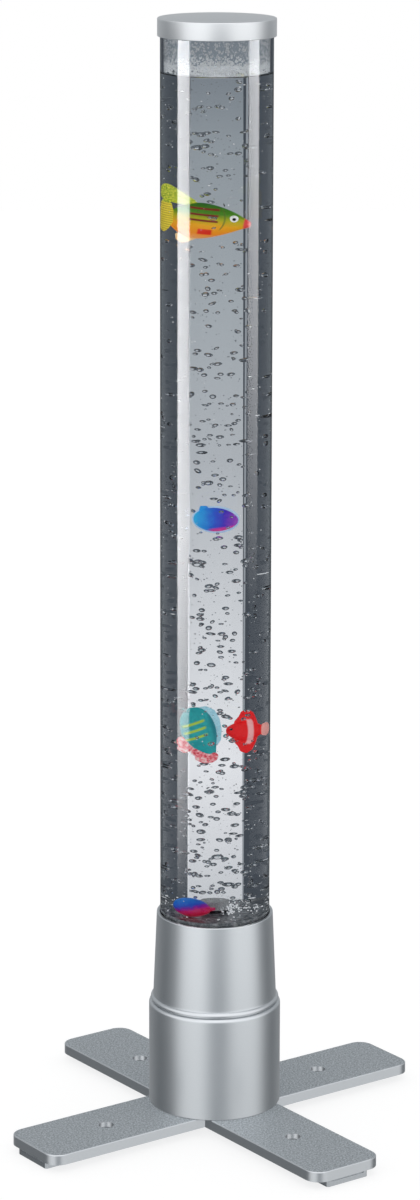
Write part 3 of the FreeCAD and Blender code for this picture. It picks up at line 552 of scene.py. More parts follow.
def hollow_master(name, segments, rings):
    """A sphere turned inside out: the skin of an air bubble, seen from the water."""
    bpy.ops.object.select_all(action="DESELECT")
    bpy.ops.mesh.primitive_uv_sphere_add(segments=segments, ring_count=rings, radius=1)
    piece = bpy.context.object
    piece.name = name
    start_edit(piece)
    bpy.ops.mesh.select_all(action="SELECT")
    bpy.ops.mesh.flip_normals()
    end_edit()
    shade(piece, 180)
    return piece


def copy_at(master, place, turn, scale):
    """A copy of a master piece with its own mesh, set down by a matrix."""
    copy = master.copy()
    copy.data = master.data.copy()
    copy.matrix_world = Matrix.LocRotScale(Vector(place), turn.to_quaternion(), Vector(scale))
    bpy.context.scene.collection.objects.link(copy)
    return copy


def join(pieces):
    """Joins pieces into the first one, at the origin."""
    bpy.ops.object.select_all(action="DESELECT")
    for piece in pieces:
        piece.select_set(True)
    bpy.context.view_layer.objects.active = pieces[0]
    bpy.ops.object.join()
    bpy.ops.object.transform_apply(location=True, rotation=True, scale=True)
    return pieces[0]


def tilt(chance, amount):
    return Matrix.Rotation(chance.uniform(0, math.tau), 3, "Z") @ Matrix.Rotation(chance.gauss(0, amount), 3, "X")


fish_zones = [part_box(name) for name in nodes if name.startswith("fish_")]


def near_fish(place, margin):
    for low, high in fish_zones:
        if all(low[i] - margin < place[i] < high[i] + margin for i in range(3)):
            return True
    return False


def near_stone(place):
    return math.hypot(place[0], place[1]) < 0.0106 and place[2] < 0.2125


def spot_in_water(chance, largest_radius, power):
    """A place in the column, more often low down, clear of the fish."""
    while True:
        angle = chance.uniform(0, math.tau)
        reach = largest_radius * math.sqrt(chance.random())
        rise = chance.random() ** power
        place = (reach * math.cos(angle), reach * math.sin(angle), 0.212 + (WATER_LEVEL - 0.216) * rise)
        if not near_fish(place, 0.004):
            return place


bubble = hollow_master("bubble", 10, 6)
bubbles = []
for count in range(BUBBLE_COUNT):
    width = bubble_chance.uniform(0.0013, 0.0030)
    scale = (width * bubble_chance.uniform(0.85, 1.25), width, width * bubble_chance.uniform(0.48, 0.78))
    place = spot_in_water(bubble_chance, 0.0415, 1.35)
    bubbles.append(copy_at(bubble, place, tilt(bubble_chance, 0.35), scale))
speck = hollow_master("speck", 6, 4)
for count in range(SPECK_COUNT):
    width = bubble_chance.uniform(0.00025, 0.0006)
    place = spot_in_water(bubble_chance, 0.0455, 1.1)
    bubbles.append(copy_at(speck, place, tilt(bubble_chance, 0.3), (width, width, width)))
froth = []
for count in range(WALL_SPECK_COUNT):
    width = bubble_chance.uniform(0.0003, 0.0008)
    angle = bubble_chance.uniform(0, math.tau)
    height = 0.205 + (WATER_LEVEL - 0.207) * bubble_chance.random()
    place = (0.0458 * math.cos(angle), 0.0458 * math.sin(angle), height)
    froth.append(copy_at(speck, place, tilt(bubble_chance, 0.3), (width, width, width * 0.8)))
for count in range(FROTH_COUNT):
    width = bubble_chance.uniform(0.0003, 0.0009)
    angle = bubble_chance.uniform(0, math.tau)
    reach = 0.006 + 0.030 * abs(bubble_chance.gauss(0, 0.5))
    place = (min(reach, 0.045) * math.cos(angle), min(reach, 0.045) * math.sin(angle), 0.0)
    rise = WATER_FOOT + 0.001 + abs(bubble_chance.gauss(0, 0.008)) * max(0.2, 1 - reach / 0.05)
    place = (place[0], place[1], rise)
    if not near_fish(place, 0.001) and not near_stone(place):
        froth.append(copy_at(speck, place, tilt(bubble_chance, 0.3), (width, width, width)))
skins = join(bubbles)
froth_skins = join(froth)


def froth_finish(name, roughness, weight, painted_glint, dark):
    """Bubbles or drops so fine that together they look white, with a painted glint in their emission."""
    finish, shader = clear_finish(name, roughness, weight, WATER_INDEX, 200.0, dark, (0.98, 0.985, 0.99))
    # Painted glint: a faint bluish-white emission that makes the bubbles and drops shine.
    shader.inputs["Emission Color"].default_value = (0.93, 0.96, 1.0, 1.0)
    shader.inputs["Emission Strength"].default_value = painted_glint
    return finish


water_skin, shader = clear_finish(
    "water_surface", 0.0, 1.0, WATER_INDEX, 30.0, (0.96, 0.98, 0.985), (0.98, 0.99, 0.995),
)
wear(skins, water_skin)
# The froth carries a painted glint in its emission.
wear(froth_skins, froth_finish("froth_white", 0.1, 0.55, 0.18, (0.88, 0.9, 0.92)))
for spare in (bubble, speck):
    bpy.data.objects.remove(spare)
wear(water, wet_finish, water_skin)
for face in water.data.polygons:
    face.material_index = 1 if face.normal.z > 0.3 else 0
shade(water, 50)
water = join([water, skins, froth_skins])
seat(water, "lamp", "water")

# ---------------------------------------------------------------- fish
# Hollow plastic fish, moulded and painted, trimmed so that each hangs at its own height in the stream of
# bubbles. Every fish is modelled nose to +X and back to +Z round its own middle, in millimetres.
PAINTED_LIGHT_FROM_BELOW = 0.28     # painted glow in the paint's own colour, standing in for light from the ring of lights in the base


def fish_body(name, sections, sides=20):
    """A body drawn out along X through (place, height, width, middle) sections and closed at both ends."""
    bpy.ops.object.select_all(action="DESELECT")
    along, height, width, middle = sections[0]
    bpy.ops.mesh.primitive_circle_add(
        vertices=sides, radius=0.5, location=(along, 0, middle), rotation=(0, math.radians(90), 0),
        fill_type="NGON",
    )
    piece = bpy.context.object
    piece.name = name
    bpy.ops.object.transform_apply(location=True, rotation=True)
    start_edit(piece)
    bpy.ops.mesh.select_all(action="SELECT")
    bpy.ops.transform.resize(value=(1, width, height))
    for before, after in zip(sections, sections[1:]):
        step = (after[0] - before[0], 0, after[3] - before[3])
        bpy.ops.mesh.extrude_region_move(TRANSFORM_OT_translate={"value": step})
        bpy.ops.transform.resize(value=(1, after[2] / before[2], after[1] / before[1]))
    bpy.ops.mesh.select_all(action="SELECT")
    bpy.ops.mesh.normals_make_consistent(inside=False)
    end_edit()
    apply_modifier(piece, "SUBSURF", levels=2, render_levels=2)
    return piece


def fish_fin(name, outline, thickness):
    """A fin drawn as an outline of (along, up) points, thickened and rounded."""
    bpy.ops.object.select_all(action="DESELECT")
    start = outline[0]
    bpy.ops.mesh.primitive_plane_add(size=1, location=(start[0], -thickness / 2, start[1]))
    piece = bpy.context.object
    piece.name = name
    bpy.ops.object.transform_apply(location=True)
    start_edit(piece)
    bpy.ops.mesh.select_mode(type="VERT")
    bpy.ops.mesh.select_all(action="SELECT")
    bpy.ops.mesh.merge(type="CENTER")
    for before, after in zip(outline, outline[1:]):
        step = (after[0] - before[0], 0, after[1] - before[1])
        bpy.ops.mesh.extrude_vertices_move(TRANSFORM_OT_translate={"value": step})
    bpy.ops.mesh.select_all(action="SELECT")
    bpy.ops.mesh.edge_face_add()
    bpy.ops.mesh.extrude_region_move(TRANSFORM_OT_translate={"value": (0, thickness, 0)})
    bpy.ops.mesh.select_all(action="SELECT")
    bpy.ops.mesh.normals_make_consistent(inside=False)
    end_edit()
    apply_modifier(piece, "BEVEL", width=thickness * 0.35, segments=2, limit_method="ANGLE")
    return piece


def fish_ball(name, place, size, scale=(1, 1, 1)):
    bpy.ops.object.select_all(action="DESELECT")
    bpy.ops.mesh.primitive_uv_sphere_add(segments=20, ring_count=12, radius=size, location=place, scale=scale)
    piece = bpy.context.object
    piece.name = name
    bpy.ops.object.transform_apply(location=True, scale=True)
    return piece


def settle_fish(parts, finishes, place, heading, pitch, roll, body, node):
    """Joins a fish from its painted parts, turns it and sets it down at its place in the water."""
    for piece, finish in zip(parts, finishes):
        wear(piece, finish)
        paint = finish.node_tree.nodes["Principled BSDF"].inputs
        # Each part's colour also goes to its emission: a painted glow standing in for light from the base.
        if paint["Base Color"].is_linked:
            finish.node_tree.links.new(paint["Base Color"].links[0].from_socket, paint["Emission Color"])
            paint["Emission Strength"].default_value = PAINTED_LIGHT_FROM_BELOW
    fish = join(parts)
    shade(fish, 50)
    fish.scale = (0.001, 0.001, 0.001)
    fish.rotation_euler = (math.radians(roll), math.radians(-pitch), math.radians(heading))
    fish.location = [value / 1000 for value in place]
    bpy.ops.object.transform_apply(location=True, rotation=True, scale=True)
    seat(fish, body, node)


def fish_axes(tree, pose):
    """The fish's own coordinates in millimetres, from Object coordinates, whole and one by one."""
    place, heading, pitch, roll = pose
    mapping = add_node(tree, "ShaderNodeMapping", {"vector_type": "TEXTURE"}, {
        "Vector": object_place(tree),
        "Location": [value / 1000 for value in place],
        "Rotation": (math.radians(roll), math.radians(-pitch), math.radians(heading)),
        "Scale": (0.001, 0.001, 0.001),
    })
    own = mapping.outputs["Vector"]
    axes = add_node(tree, "ShaderNodeSeparateXYZ", {}, {0: own})
    return own, axes.outputs["X"], axes.outputs["Y"], axes.outputs["Z"]


def ramp(tree, value, stops):
    """A colour ramp over 0..1 with (position, colour) stops."""
    node = add_node(tree, "ShaderNodeValToRGB", {}, {"Fac": value})
    elements = node.color_ramp.elements
    while len(elements) > 1:
        elements.remove(elements[-1])
    elements[0].position = stops[0][0]
    elements[0].color = (*stops[0][1], 1)
    for position, colour in stops[1:]:
        elements.new(position).color = (*colour, 1)
    return node.outputs["Color"]


def window(tree, value, low, high, soft):
    """1 between low and high, with soft edges."""
    rise = add_node(tree, "ShaderNodeMapRange", {"interpolation_type": "SMOOTHSTEP"}, {
        "Value": value, "From Min": low - soft, "From Max": low + soft,
    })
    fall = add_node(tree, "ShaderNodeMapRange", {"interpolation_type": "SMOOTHSTEP"}, {
        "Value": value, "From Min": high - soft, "From Max": high + soft, "To Min": 1.0, "To Max": 0.0,
    })
    return math_node(tree, "MULTIPLY", rise.outputs["Result"], fall.outputs["Result"])


def span(tree, value, low, high):
    node = add_node(tree, "ShaderNodeMapRange", {}, {"Value": value, "From Min": low, "From Max": high})
    return node.outputs["Result"]


eye_white, tree, shader = new_finish("eye_white", (0.85, 0.85, 0.82), 0.25)
mottle(tree, shader, 400.0, (0.80, 0.80, 0.77), (0.90, 0.90, 0.88))
pupil_black, tree, shader = new_finish("pupil_black", (0.01, 0.01, 0.012), 0.2)
mottle(tree, shader, 400.0, (0.008, 0.008, 0.01), (0.016, 0.016, 0.018))

# The green fish: long body, dark green back over an orange belly, three dark red stripes, red lips, a
# speckled hump on its back and a tall yellow tail.
GREEN_POSE = ((-5.0, 4.5, 838.5), 8.0, -7.0, 0.0)
green_body_finish, tree, shader = new_finish("green_fish_paint", (0.3, 0.5, 0.1), 0.35)
own, along, across, up = fish_axes(tree, GREEN_POSE)
wavy_up = math_node(tree, "ADD", up, math_node(tree, "MULTIPLY", noise(tree, own, 0.35, 3.0), 3.0))
colour = ramp(tree, span(tree, wavy_up, -20, 16), [
    (0.0, (0.92, 0.45, 0.18)), (0.22, (0.92, 0.27, 0.01)), (0.42, (0.85, 0.38, 0.005)), (0.58, (0.45, 0.42, 0.005)),
    (0.72, (0.07, 0.25, 0.01)), (1.0, (0.015, 0.11, 0.01)),
])
for level in (8.2, 3.0, -2.0):
    across_stripe = window(tree, up, level - 0.9, level + 0.9, 0.5)
    stripe = math_node(tree, "MULTIPLY", window(tree, along, -14, 5.5, 0.8), across_stripe)
    colour = mix_colour(tree, stripe, colour, (0.22, 0.02, 0.01))
patch = math_node(tree, "MULTIPLY", window(tree, along, -7, 2.5, 0.8), window(tree, up, -14.5, -9.5, 0.8))
colour = mix_colour(tree, patch, colour, (0.75, 0.03, 0.01))


def bow(tree, along, up, amount):
    """The place along the fish, bent backwards or forwards above and below its middle."""
    square = math_node(tree, "POWER", math_node(tree, "ABSOLUTE", up), 2.0)
    return math_node(tree, "ADD", along, math_node(tree, "MULTIPLY", square, amount))


gill_bow = bow(tree, along, up, 0.03)
gill = math_node(tree, "MULTIPLY", window(tree, gill_bow, 9.2, 10.4, 0.4), window(tree, up, -9, 9, 1.5))
colour = mix_colour(tree, math_node(tree, "MULTIPLY", gill, 0.7), colour, (0.10, 0.16, 0.02))
lips = window(tree, along, 22.2, 40, 0.8)
tint(tree, shader, mix_colour(tree, lips, colour, (0.8, 0.07, 0.06)))

green_fin_finish, tree, shader = new_finish("yellow_fin_paint", (0.7, 0.62, 0.05), 0.4)
own, along, across, up = fish_axes(tree, GREEN_POSE)
speckled = ramp(tree, noise(tree, own, 1.1, 3.0), [
    (0.38, (0.22, 0.38, 0.02)), (0.5, (0.55, 0.62, 0.04)), (0.66, (0.85, 0.8, 0.1)),
])
rib_wave = add_node(tree, "ShaderNodeTexWave", {"bands_direction": "Z"}, {"Vector": own, "Scale": 0.16})
ribbed = mix_colour(tree, rib_wave.outputs["Fac"], (0.62, 0.45, 0.02), (0.95, 0.78, 0.06))
is_tail = window(tree, up, -60, 9.5, 1.0)
tint(tree, shader, mix_colour(tree, is_tail, speckled, ribbed))
relief(tree, shader, rib_wave.outputs["Fac"], 0.5, 0.0006)

green_body = fish_body("green_fish_body", [
    (26.6, 3.2, 3.6, -3.2), (25.4, 6.0, 5.6, -3.0), (22.5, 8.6, 7.4, -2.6), (18, 14.5, 11, -2.2), (12, 21.5, 15, -2.2),
    (4, 28.5, 18, -2.6), (-5, 33.5, 19, -3.2), (-13, 32, 15, -3.6), (-19, 24, 9, -3.6), (-24, 15, 4, -3.4),
    (-26.5, 11, 2.2, -3.0),
])
green_tail = fish_fin("green_fish_tail", [
    (-23, -7), (-25.5, -13), (-28, -16.5), (-31.5, -17), (-34, -13), (-35, -6), (-35.3, 2), (-34.5, 8), (-32.5, 12),
    (-29, 12.5), (-26, 9), (-24, 3),
], 6.5)
green_hump = fish_body("green_fish_hump", [
    (-37, 8, 3, 18.5), (-34, 14, 7, 19), (-29, 16, 9, 18.5), (-23, 13, 8, 16), (-15, 8, 5, 13), (-9, 3, 2, 12),
], 14)
green_spike = fish_body("green_fish_spike", [(8.2, 1.6, 1.2, 11.6), (7.4, 2.2, 1.6, 12.4), (6.8, 1.0, 0.8, 14.0)], 8)
green_fin_low = fish_fin("green_fish_low_fin", [
    (-2, -16), (-6, -19), (-12, -23.5), (-15, -24.5), (-19, -22), (-20, -17), (-14, -14),
], 1.8)
eyes = [fish_ball("green_eye", (15.6, side * 5.6, 1.6), 3.1, (1, 0.55, 1)) for side in (-1, 1)]
pupils = [fish_ball("green_pupil", (15.9, side * 6.9, 1.4), 1.35, (1, 0.6, 1)) for side in (-1, 1)]
belly_fin_finish, tree, shader = new_finish("peach_fin_paint", (0.9, 0.6, 0.3), 0.4)
own, along, across, up = fish_axes(tree, GREEN_POSE)
rib_wave = add_node(tree, "ShaderNodeTexWave", {"bands_direction": "X"}, {"Vector": own, "Scale": 0.25})
tint(tree, shader, mix_colour(tree, rib_wave.outputs["Fac"], (0.85, 0.45, 0.15), (0.95, 0.75, 0.45)))
settle_fish(
    [green_body, green_tail, green_hump, green_spike, green_fin_low, *eyes, *pupils],
    [green_body_finish, green_fin_finish, green_fin_finish, pupil_black, belly_fin_finish,
     eye_white, eye_white, pupil_black, pupil_black],
    *GREEN_POSE, "green_fish", "fish_green",
)

# The blue fish: a round flat fish in blue that turns violet at the head, with a thin fin all round.
BLUE_POSE = ((0.0, 0.0, 567.2), 6.0, -4.0, 0.0)
blue_finish, tree, shader = new_finish("blue_fish_paint", (0.05, 0.2, 0.7), 0.35)
own, along, across, up = fish_axes(tree, BLUE_POSE)
shifted = math_node(tree, "ADD", along, math_node(tree, "MULTIPLY", noise(tree, own, 0.3, 3.0), 7.0))
blues = ramp(tree, span(tree, shifted, -13, 21), [
    (0.0, (0.02, 0.45, 0.75)), (0.2, (0.02, 0.30, 0.72)), (0.45, (0.02, 0.10, 0.60)), (0.65, (0.05, 0.03, 0.50)),
    (0.85, (0.25, 0.04, 0.45)), (1.0, (0.35, 0.10, 0.50)),
])
low_band = math_node(tree, "ADD", up, math_node(tree, "MULTIPLY", along, -0.25))
magenta = math_node(tree, "MULTIPLY", window(tree, low_band, -14, -7.5, 1.2), window(tree, along, -3, 20, 3))
tint(tree, shader, mix_colour(tree, magenta, blues, (0.65, 0.05, 0.32)))
blue_body = fish_body("blue_fish_body", [
    (15.2, 4, 2, 0), (13, 11, 5.5, 0), (8, 18.5, 10, 0), (1, 23, 12.6, 0), (-6, 21.5, 11.5, 0), (-12, 14.5, 6.5, 0),
    (-15, 6, 2.2, 0),
])
rim_finish, tree, shader = new_finish("pale_rim_paint", (0.45, 0.62, 0.78), 0.4)
own, along, across, up = fish_axes(tree, BLUE_POSE)
tint(tree, shader, mix_colour(tree, noise(tree, own, 0.5), (0.25, 0.45, 0.75), (0.6, 0.75, 0.85)))
blue_rim = fish_fin("blue_fish_rim", [
    (15.8 * math.cos(math.tau * step / 28), 12.4 * math.sin(math.tau * step / 28)) for step in range(28)
], 1.4)
blue_ridge = fish_fin("blue_fish_ridge", [(-3, 9), (-7, 12), (-11, 11.5), (-12, 6)], 1.6)
settle_fish(
    [blue_body, blue_rim, blue_ridge], [blue_finish, rim_finish, blue_finish], *BLUE_POSE, "blue_fish", "fish_blue",
)

# The teal fish: deep body that stands on its tail, three yellow-green stripes on its flank, a clear
# blue border fin behind and pink fins below.
TEAL_POSE = ((-10.5, -3.0, 369.0), 8.0, 100.0, 0.0)
teal_finish, tree, shader = new_finish("teal_fish_paint", (0.02, 0.35, 0.36), 0.35)
own, along, across, up = fish_axes(tree, TEAL_POSE)
colour = mix_colour(tree, noise(tree, own, 0.35, 3.0), (0.01, 0.22, 0.26), (0.02, 0.42, 0.42))
slanted = math_node(tree, "ADD", along, math_node(tree, "MULTIPLY", up, 0.3))
for level in (-2.0, 4.5, 11.0):
    across_stripe = window(tree, slanted, level - 1.1, level + 1.1, 0.7)
    stripe = math_node(tree, "MULTIPLY", across_stripe, window(tree, up, -5.5, 10.5, 1.2))
    colour = mix_colour(tree, stripe, colour, (0.38, 0.55, 0.05))
edge = window(tree, up, -30, -9.2, 1.6)
tint(tree, shader, mix_colour(tree, math_node(tree, "MULTIPLY", edge, 0.6), colour, (0.01, 0.12, 0.18)))
teal_body = fish_body("teal_fish_body", [
    (24.5, 7, 3, -0.5), (22, 14, 6, -0.5), (16, 21.5, 11, 0), (6, 25.5, 14, 0), (-4, 24, 13, 0), (-13, 16, 8, -1.5),
    (-19, 9, 4, -4), (-22, 4, 2, -5),
])
pale_fin_finish, tree, shader = new_finish("pale_blue_fin", (0.35, 0.58, 0.66), 0.3)
shader.inputs["Transmission Weight"].default_value = 0.35
own, along, across, up = fish_axes(tree, TEAL_POSE)
tint(tree, shader, mix_colour(tree, noise(tree, own, 0.6), (0.2, 0.48, 0.6), (0.55, 0.75, 0.8)))
pink_fin_finish, tree, shader = new_finish("pink_fin_paint", (0.8, 0.25, 0.28), 0.4)
own, along, across, up = fish_axes(tree, TEAL_POSE)
tint(tree, shader, ramp(tree, noise(tree, own, 0.45, 3.0), [
    (0.35, (0.6, 0.03, 0.05)), (0.5, (0.8, 0.2, 0.24)), (0.66, (0.85, 0.6, 0.58)),
]))
teal_border = fish_fin("teal_fish_border", [
    (24, -3), (24.5, -9), (20, -14), (11, -16), (1, -15.5), (-8, -13.5), (-13, -10), (-8, -6), (10, -5),
], 1.8)
teal_breast = fish_fin("teal_fish_breast", [
    (-2, 8), (-2, 14.5), (-6, 17.5), (-10, 16), (-12.5, 18), (-17, 14), (-16, 8), (-10, 5),
], 3.0)
teal_tail = fish_fin("teal_fish_tail", [
    (-13, 6), (-18, 9), (-21, 6), (-24, 7), (-28, 2), (-28.5, -4), (-26, -8), (-22, -9.5), (-18, -7), (-14, -2),
], 3.4)
settle_fish(
    [teal_body, teal_border, teal_breast, teal_tail],
    [teal_finish, pale_fin_finish, pink_fin_finish, pink_fin_finish], *TEAL_POSE, "teal_fish", "fish_teal",
)

# The red fish: small and plump, with tall pointed fins above and below, a pink collar and a pink tail bud.
RED_POSE = ((17.5, 11.0, 369.0), 188.0, 0.0, 0.0)
red_finish, tree, shader = new_finish("red_fish_paint", (0.75, 0.02, 0.03), 0.35)
own, along, across, up = fish_axes(tree, RED_POSE)
reds = mix_colour(tree, noise(tree, own, 0.4), (0.72, 0.002, 0.006), (0.92, 0.012, 0.012))
collar_bow = window(tree, bow(tree, along, up, -0.02), -6.2, -2.6, 0.6)
collar = math_node(tree, "MULTIPLY", collar_bow, window(tree, up, -12, 11, 1.0))
colour = mix_colour(tree, collar, reds, (0.9, 0.42, 0.42))
bud = window(tree, along, -40, -11.0, 0.5)
tint(tree, shader, mix_colour(tree, bud, colour, (0.9, 0.4, 0.36)))
red_body = fish_body("red_fish_body", [
    (12.5, 5, 3, 0.5), (10.5, 10, 7, 0.5), (6, 17, 11.5, 0), (0, 21, 13, 0), (-5, 17.5, 10.5, 0), (-9, 10, 6, 0),
    (-11.5, 6, 4, 0),
])
red_bud = fish_body("red_fish_bud", [(-9, 8, 4, 0), (-12, 12.5, 6, 0), (-15, 13, 6, 0), (-17.5, 7, 3, 0)], 14)
red_top = fish_fin("red_fish_top_fin", [
    (-8, 4), (-6.5, 11), (-4.5, 17), (-1, 20.3), (3, 18.5), (4.5, 14), (7.5, 9), (7, 4),
], 3.0)
red_low = fish_fin("red_fish_low_fin", [
    (-8, -4), (-6.5, -11), (-4, -18), (-0.5, -21.2), (3.5, -19), (5, -14), (8, -9), (7, -4),
], 3.0)
red_eyes = [fish_ball("red_eye", (8.6, side * 3.9, 2.6), 1.1, (1, 0.6, 1)) for side in (-1, 1)]
settle_fish(
    [red_body, red_bud, red_top, red_low, *red_eyes],
    [red_finish, red_finish, red_finish, red_finish, pupil_black, pupil_black], *RED_POSE, "red_fish", "fish_red",
)

# The crimson fish lies on its side on the chamber floor, blue on the flank and crimson round the edge.
CRIMSON_POSE = ((-14.5, -26.0, 209.2), 156.0, 0.0, 90.0)
crimson_finish, tree, shader = new_finish("crimson_fish_paint", (0.5, 0.02, 0.15), 0.3)
own, along, across, up = fish_axes(tree, CRIMSON_POSE)
lean = math_node(tree, "ADD", across, math_node(tree, "MULTIPLY", along, 0.28))
flank = math_node(tree, "ADD", lean, math_node(tree, "MULTIPLY", noise(tree, own, 0.3), 4.0))
tint(tree, shader, ramp(tree, span(tree, flank, -4, 10), [
    (0.0, (0.50, 0.01, 0.05)), (0.3, (0.45, 0.01, 0.12)), (0.48, (0.16, 0.01, 0.30)), (0.62, (0.02, 0.06, 0.45)),
    (1.0, (0.01, 0.16, 0.58)),
]))
crimson_body = fish_body("crimson_fish_body", [
    (16, 8, 5, 0), (14, 15, 10.5, 0), (8, 22, 16, 0), (0, 24, 18, 0), (-8, 20, 15, 0), (-14, 12, 9, 0),
    (-17, 6, 5, 0),
])
crimson_tail = fish_fin("crimson_fish_tail", [
    (-12, -4), (-14, -7.5), (-16.5, -8.5), (-18.5, -6.5), (-17.5, 0), (-18.5, 6.5), (-16.5, 8.5), (-14, 7.5),
    (-12, 4),
], 2.4)
settle_fish(
    [crimson_body, crimson_tail], [crimson_finish, crimson_finish], *CRIMSON_POSE, "crimson_fish", "fish_crimson",
)

# ---------------------------------------------------------------- spray above the water
# Drops that the bursting bubbles throw onto the dry bore above the water, flattened against it.
DROP_COUNT = 1500
FOAM_COUNT = 1300
FOAM_TOP = 0.9758
drop_chance = random.Random(23)
bpy.ops.object.select_all(action="DESELECT")
bpy.ops.mesh.primitive_uv_sphere_add(segments=8, ring_count=5, radius=1)
drop = bpy.context.object
shade(drop, 180)
drops = []
for count in range(DROP_COUNT):
    angle = drop_chance.uniform(0, math.tau)
    size = 0.0003 + 0.0009 * drop_chance.random() ** 2
    height = FOAM_TOP + (TUBE_TOP - FOAM_TOP - 0.003) * drop_chance.random()
    reach = BORE_RADIUS - size * 0.75
    turn = Matrix.Rotation(angle, 3, "Z")
    scale = (size * 0.8, size, size * drop_chance.uniform(0.8, 1.3))
    drops.append(copy_at(drop, (reach * math.cos(angle), reach * math.sin(angle), height), turn, scale))
foam = []
for count in range(FOAM_COUNT):
    angle = drop_chance.uniform(0, math.tau)
    size = drop_chance.uniform(0.0004, 0.0011)
    share = drop_chance.random() ** 1.6
    reach = (BORE_RADIUS - size - 0.0001) * (1 - 0.55 * drop_chance.random() ** 2 * (1 - share))
    height = WATER_LEVEL + 0.0016 + size + (FOAM_TOP - WATER_LEVEL - 0.003) * share
    turn = Matrix.Rotation(angle, 3, "Z")
    foam.append(copy_at(drop, (reach * math.cos(angle), reach * math.sin(angle), height), turn, (size, size, size)))
spray = join(drops)
foam_skin = join(foam)
# The spray and the foam also carry a painted glint in their emission.
wear(spray, froth_finish("spray_clear", 0.08, 0.8, 0.04, (0.86, 0.88, 0.9)))
wear(foam_skin, froth_finish("foam_white", 0.08, 0.55, 0.09, (0.86, 0.88, 0.9)))
spray = join([spray, foam_skin])
spray.name = "spray_drops"
bpy.data.objects.remove(drop)
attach(spray, "lamp")

# ---------------------------------------------------------------- top cap
# A shallow moulded lid in the same silver, pushed over the tube's end. Four short lugs inside keep it
# centred, and their stops leave a gap for the air to escape.
CAP_RADIUS = 0.0525
CAP_TOP = 1.014
CAP_FOOT = 0.998
CAP_ROUND = 0.0009
CAP_BORE = 0.0504
CAP_CEILING = 1.011

cap_rings = [(0.002, CAP_TOP)]
cap_rings += rounded(CAP_RADIUS - CAP_ROUND, CAP_TOP - CAP_ROUND, CAP_ROUND, 90, 0, 5)
cap_rings += [(CAP_RADIUS, CAP_FOOT + 0.0004), (CAP_RADIUS - 0.0004, CAP_FOOT), (CAP_BORE, CAP_FOOT)]
cap_rings += [(CAP_BORE, CAP_CEILING), (0.002, CAP_CEILING)]
cap = lathe("lift_off_cap", cap_rings, SHELL_SIDES)
close_poles(cap, 0.0022)
for quarter in range(4):
    lug = box_piece("cap_lug", (0.0429, -0.007, 1.002), (0.0459, 0.007, 1.0115))
    start_edit(lug)
    bpy.ops.mesh.select_all(action="SELECT")
    bpy.ops.transform.rotate(value=math.radians(90 * quarter), orient_axis="Z", center_override=(0, 0, 0))
    end_edit()
    combine(cap, lug, "UNION")
shade(cap, 32)
# The cap gets a lighter copy of the shell's silver as painted light.
cap_finish = silver_paint("cap_silver_with_painted_light", (0.70, 0.72, 0.735), (0.77, 0.79, 0.80), 0.36, 0.85)
wear(cap, cap_finish)
seat(cap, "cap", "top_cap")

# ---------------------------------------------------------------- floor, light and camera
# The lamp stands on a plain pale floor in a white room. Tall light panels stand behind it and beside it,
# with dark screens between them, so that the water shows bright in the middle and dark at the sides.
CAMERA_PLACE = (0.52455, -3.28296, 1.31203)
CAMERA_HEADING = 9.170
CAMERA_PITCH = -11.628
CAMERA_ROLL = 0.127
CAMERA_LENS = 113.80
CAMERA_SHIFT = -0.125
VIEW_AZIMUTH = 9.08

bpy.ops.object.select_all(action="DESELECT")
bpy.ops.mesh.primitive_circle_add(vertices=96, radius=6, fill_type="NGON", location=(0, 0, -0.0003))
floor = bpy.context.object
floor.name = "studio_floor"
floor_paint = bpy.data.materials.new("studio_floor")
floor_paint.use_nodes = True
tree = floor_paint.node_tree
tree.nodes.clear()
light_path = add_node(tree, "ShaderNodeLightPath")
matt = add_node(tree, "ShaderNodeBsdfDiffuse", {}, {"Color": (0.30, 0.30, 0.30, 1)})
glow = add_node(tree, "ShaderNodeEmission", {}, {"Color": (1, 1, 1, 1), "Strength": 0.74})
seen = add_node(tree, "ShaderNodeMixShader", {}, {0: light_path.outputs["Is Camera Ray"]})
together = add_node(tree, "ShaderNodeAddShader")
tree.links.new(matt.outputs[0], together.inputs[0])
tree.links.new(glow.outputs[0], together.inputs[1])
plain = add_node(tree, "ShaderNodeBsdfDiffuse", {}, {"Color": (0.75, 0.75, 0.75, 1)})
tree.links.new(plain.outputs[0], seen.inputs[1])
tree.links.new(together.outputs[0], seen.inputs[2])
surface = add_node(tree, "ShaderNodeOutputMaterial")
tree.links.new(seen.outputs[0], surface.inputs["Surface"])
floor.data.materials.append(floor_paint)
floor.visible_transmission = False
floor.visible_glossy = False

world = bpy.data.worlds.new("studio")
bpy.context.scene.world = world
world.use_nodes = True
world.cycles.sampling_method = "NONE"
tree = world.node_tree
tree.nodes.clear()
light_path = add_node(tree, "ShaderNodeLightPath")
turned = add_node(tree, "ShaderNodeVectorRotate", {"rotation_type": "Z_AXIS"}, {
    "Vector": add_node(tree, "ShaderNodeTexCoord").outputs["Generated"], "Angle": math.radians(-VIEW_AZIMUTH),
})
axes = add_node(tree, "ShaderNodeSeparateXYZ", {}, {0: turned.outputs[0]})
rise = math_node(tree, "MULTIPLY", math_node(tree, "ARCSINE", axes.outputs["Z"]), math.degrees(1))
bearing = math_node(tree, "ARCTAN2", axes.outputs["X"], axes.outputs["Y"])
behind = math_node(tree, "MULTIPLY", bearing, math.degrees(1))
towards = math_node(tree, "MULTIPLY", axes.outputs["Y"], -1.0)
bearing = math_node(tree, "ARCTAN2", axes.outputs["X"], towards)
front = math_node(tree, "MULTIPLY", bearing, math.degrees(1))

